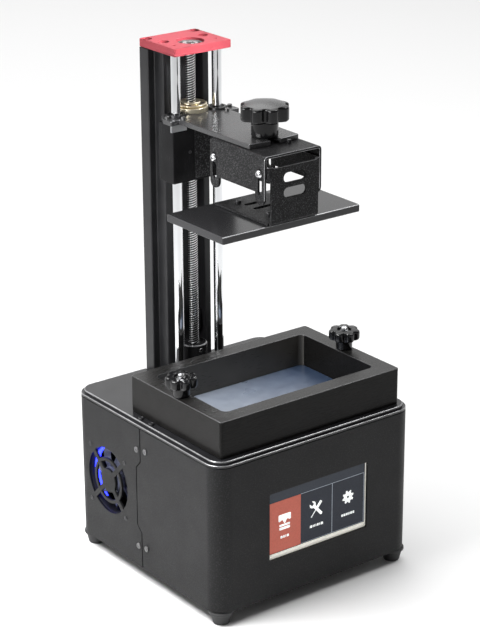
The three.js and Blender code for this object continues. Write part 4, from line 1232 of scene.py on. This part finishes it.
STAR_LEVELS = ((182.4, 0.88, 0.7), (182.9, 0.96, 0.9), (184.0, 1, 1), (188.6, 1, 1), (189.8, 0.97, 0.95),
               (190.5, 0.9, 0.85), (190.7, 0.5, 0), (190.3, 0.46, 0), (189.0, 0.45, 0), (189.0, 0.26, 0))
for name, side in SIDES:
    at = (side * STUD_X, VAT_Y, 0)
    stud = threaded(2.9, 2.45, 1.0, 1, LID_TOP + 0.3, 190.5, 24)
    tip = lathe([(0, 190.4), (2.75, 190.4), (2.75, 191.2), (2.4, 192.2), (1.5, 192.8), (0, 193)], 32)
    make("vat_bolt_" + name, (stud + tip).at(*at), STEEL, "base", ["vat_stud_" + name], crease=25)
    grip, stem = knob(13, 3.0, 7, STAR_LEVELS, 210, 2.2, 6.9, 174.0, 3.4)
    make("vat_knob_star_" + name, (grip + stem).at(*at), KNOB, "vat_knob_" + name,
         ["vat_knob_" + name])

# ---- looks of the CAD nodes that stay in view -----------------------------------------------------
# The screen frame takes the bezel look, whose faint glow is painted light.
NODE_LOOKS = {
    "floor_plate": PAINT, "screen_frame": BEZEL_PAINTED_GLOW, "masking_lcd": LCD, "light_box": PLASTIC,
    "uv_lamp": WHITE, "heat_sink": BARE, "main_board": BOARD, "dc_inlet": PLASTIC, "usb_socket": DULL_STEEL,
    "switch_frame": PLASTIC, "power_rocker": KNOB, "motor_bridge": STEEL, "stepper_motor": BLOCK_BLACK,
    "motor_shaft": STEEL, "limit_switch": PLASTIC, "film_frame": STEEL,
}
for node, look in NODE_LOOKS.items():
    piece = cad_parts[node]
    piece.data.materials.clear()
    piece.data.materials.append(look)


# ---- floor and light ------------------------------------------------------------------------------
def floor():
    mesh = bpy.data.meshes.new("floor")
    mesh.from_pydata([(-8, -8, 0), (8, -8, 0), (8, 8, 0), (-8, 8, 0)], [], [(0, 1, 2, 3)])
    n = Nodes("floor")
    n.set(Base_Color=(0.86, 0.86, 0.86, 1), Roughness=0.7, Specular_IOR_Level=0.2)
    mesh.materials.append(n.material)
    piece = bpy.data.objects.new("floor", mesh)
    bpy.context.scene.collection.objects.link(piece)


def area_light(name, place, aim, size, power, spread=180):
    """A square lamp of side size, aimed at a point, its light held within spread degrees."""
    data = bpy.data.lights.new(name, "AREA")
    data.energy = power
    data.size = size
    data.spread = math.radians(spread)
    light = bpy.data.objects.new(name, data)
    light.location = place
    light.rotation_mode = "QUATERNION"
    light.rotation_quaternion = (Vector(aim) - Vector(place)).to_track_quat("-Z", "Y")
    bpy.context.scene.collection.objects.link(light)
    return light


def studio(front, back):
    """A white room that is dimmer in front of the printer than behind it."""
    scene_world = bpy.data.worlds.new("studio")
    scene_world.use_nodes = True
    tree = scene_world.node_tree
    background = tree.nodes["Background"]
    background.inputs["Color"].default_value = (1, 1, 1, 1)
    split = tree.nodes.new("ShaderNodeSeparateXYZ")
    tree.links.new(tree.nodes.new("ShaderNodeTexCoord").outputs["Generated"], split.inputs[0])
    fade = tree.nodes.new("ShaderNodeMapRange")
    fade.interpolation_type = "SMOOTHSTEP"
    fade.inputs["From Min"].default_value, fade.inputs["From Max"].default_value = -0.5, 0.6
    fade.inputs["To Min"].default_value, fade.inputs["To Max"].default_value = front, back
    tree.links.new(split.outputs["Y"], fade.inputs["Value"])
    tree.links.new(fade.outputs["Result"], background.inputs["Strength"])
    bpy.context.scene.world = scene_world


floor()
studio(0.15, 0.95)
area_light("overhead", (0.2, 1.4, 2.6), (0.2, 1.2, 0), 3.4, 58)
area_light("edge_front", (0.95, -0.45, 1.7), (0, 0, 0.25), 0.6, 12)
area_light("floor_left", (-0.32, 0.0, 0.42), (-0.26, 0, 0), 0.2, 3.2)
top_front = area_light("top_front", (0.12, -0.5, 0.72), (0, 0.04, 0.445), 0.06, 0.06, 12)
top_front.visible_glossy = False
bpy.context.scene.view_settings.view_transform = "Standard"
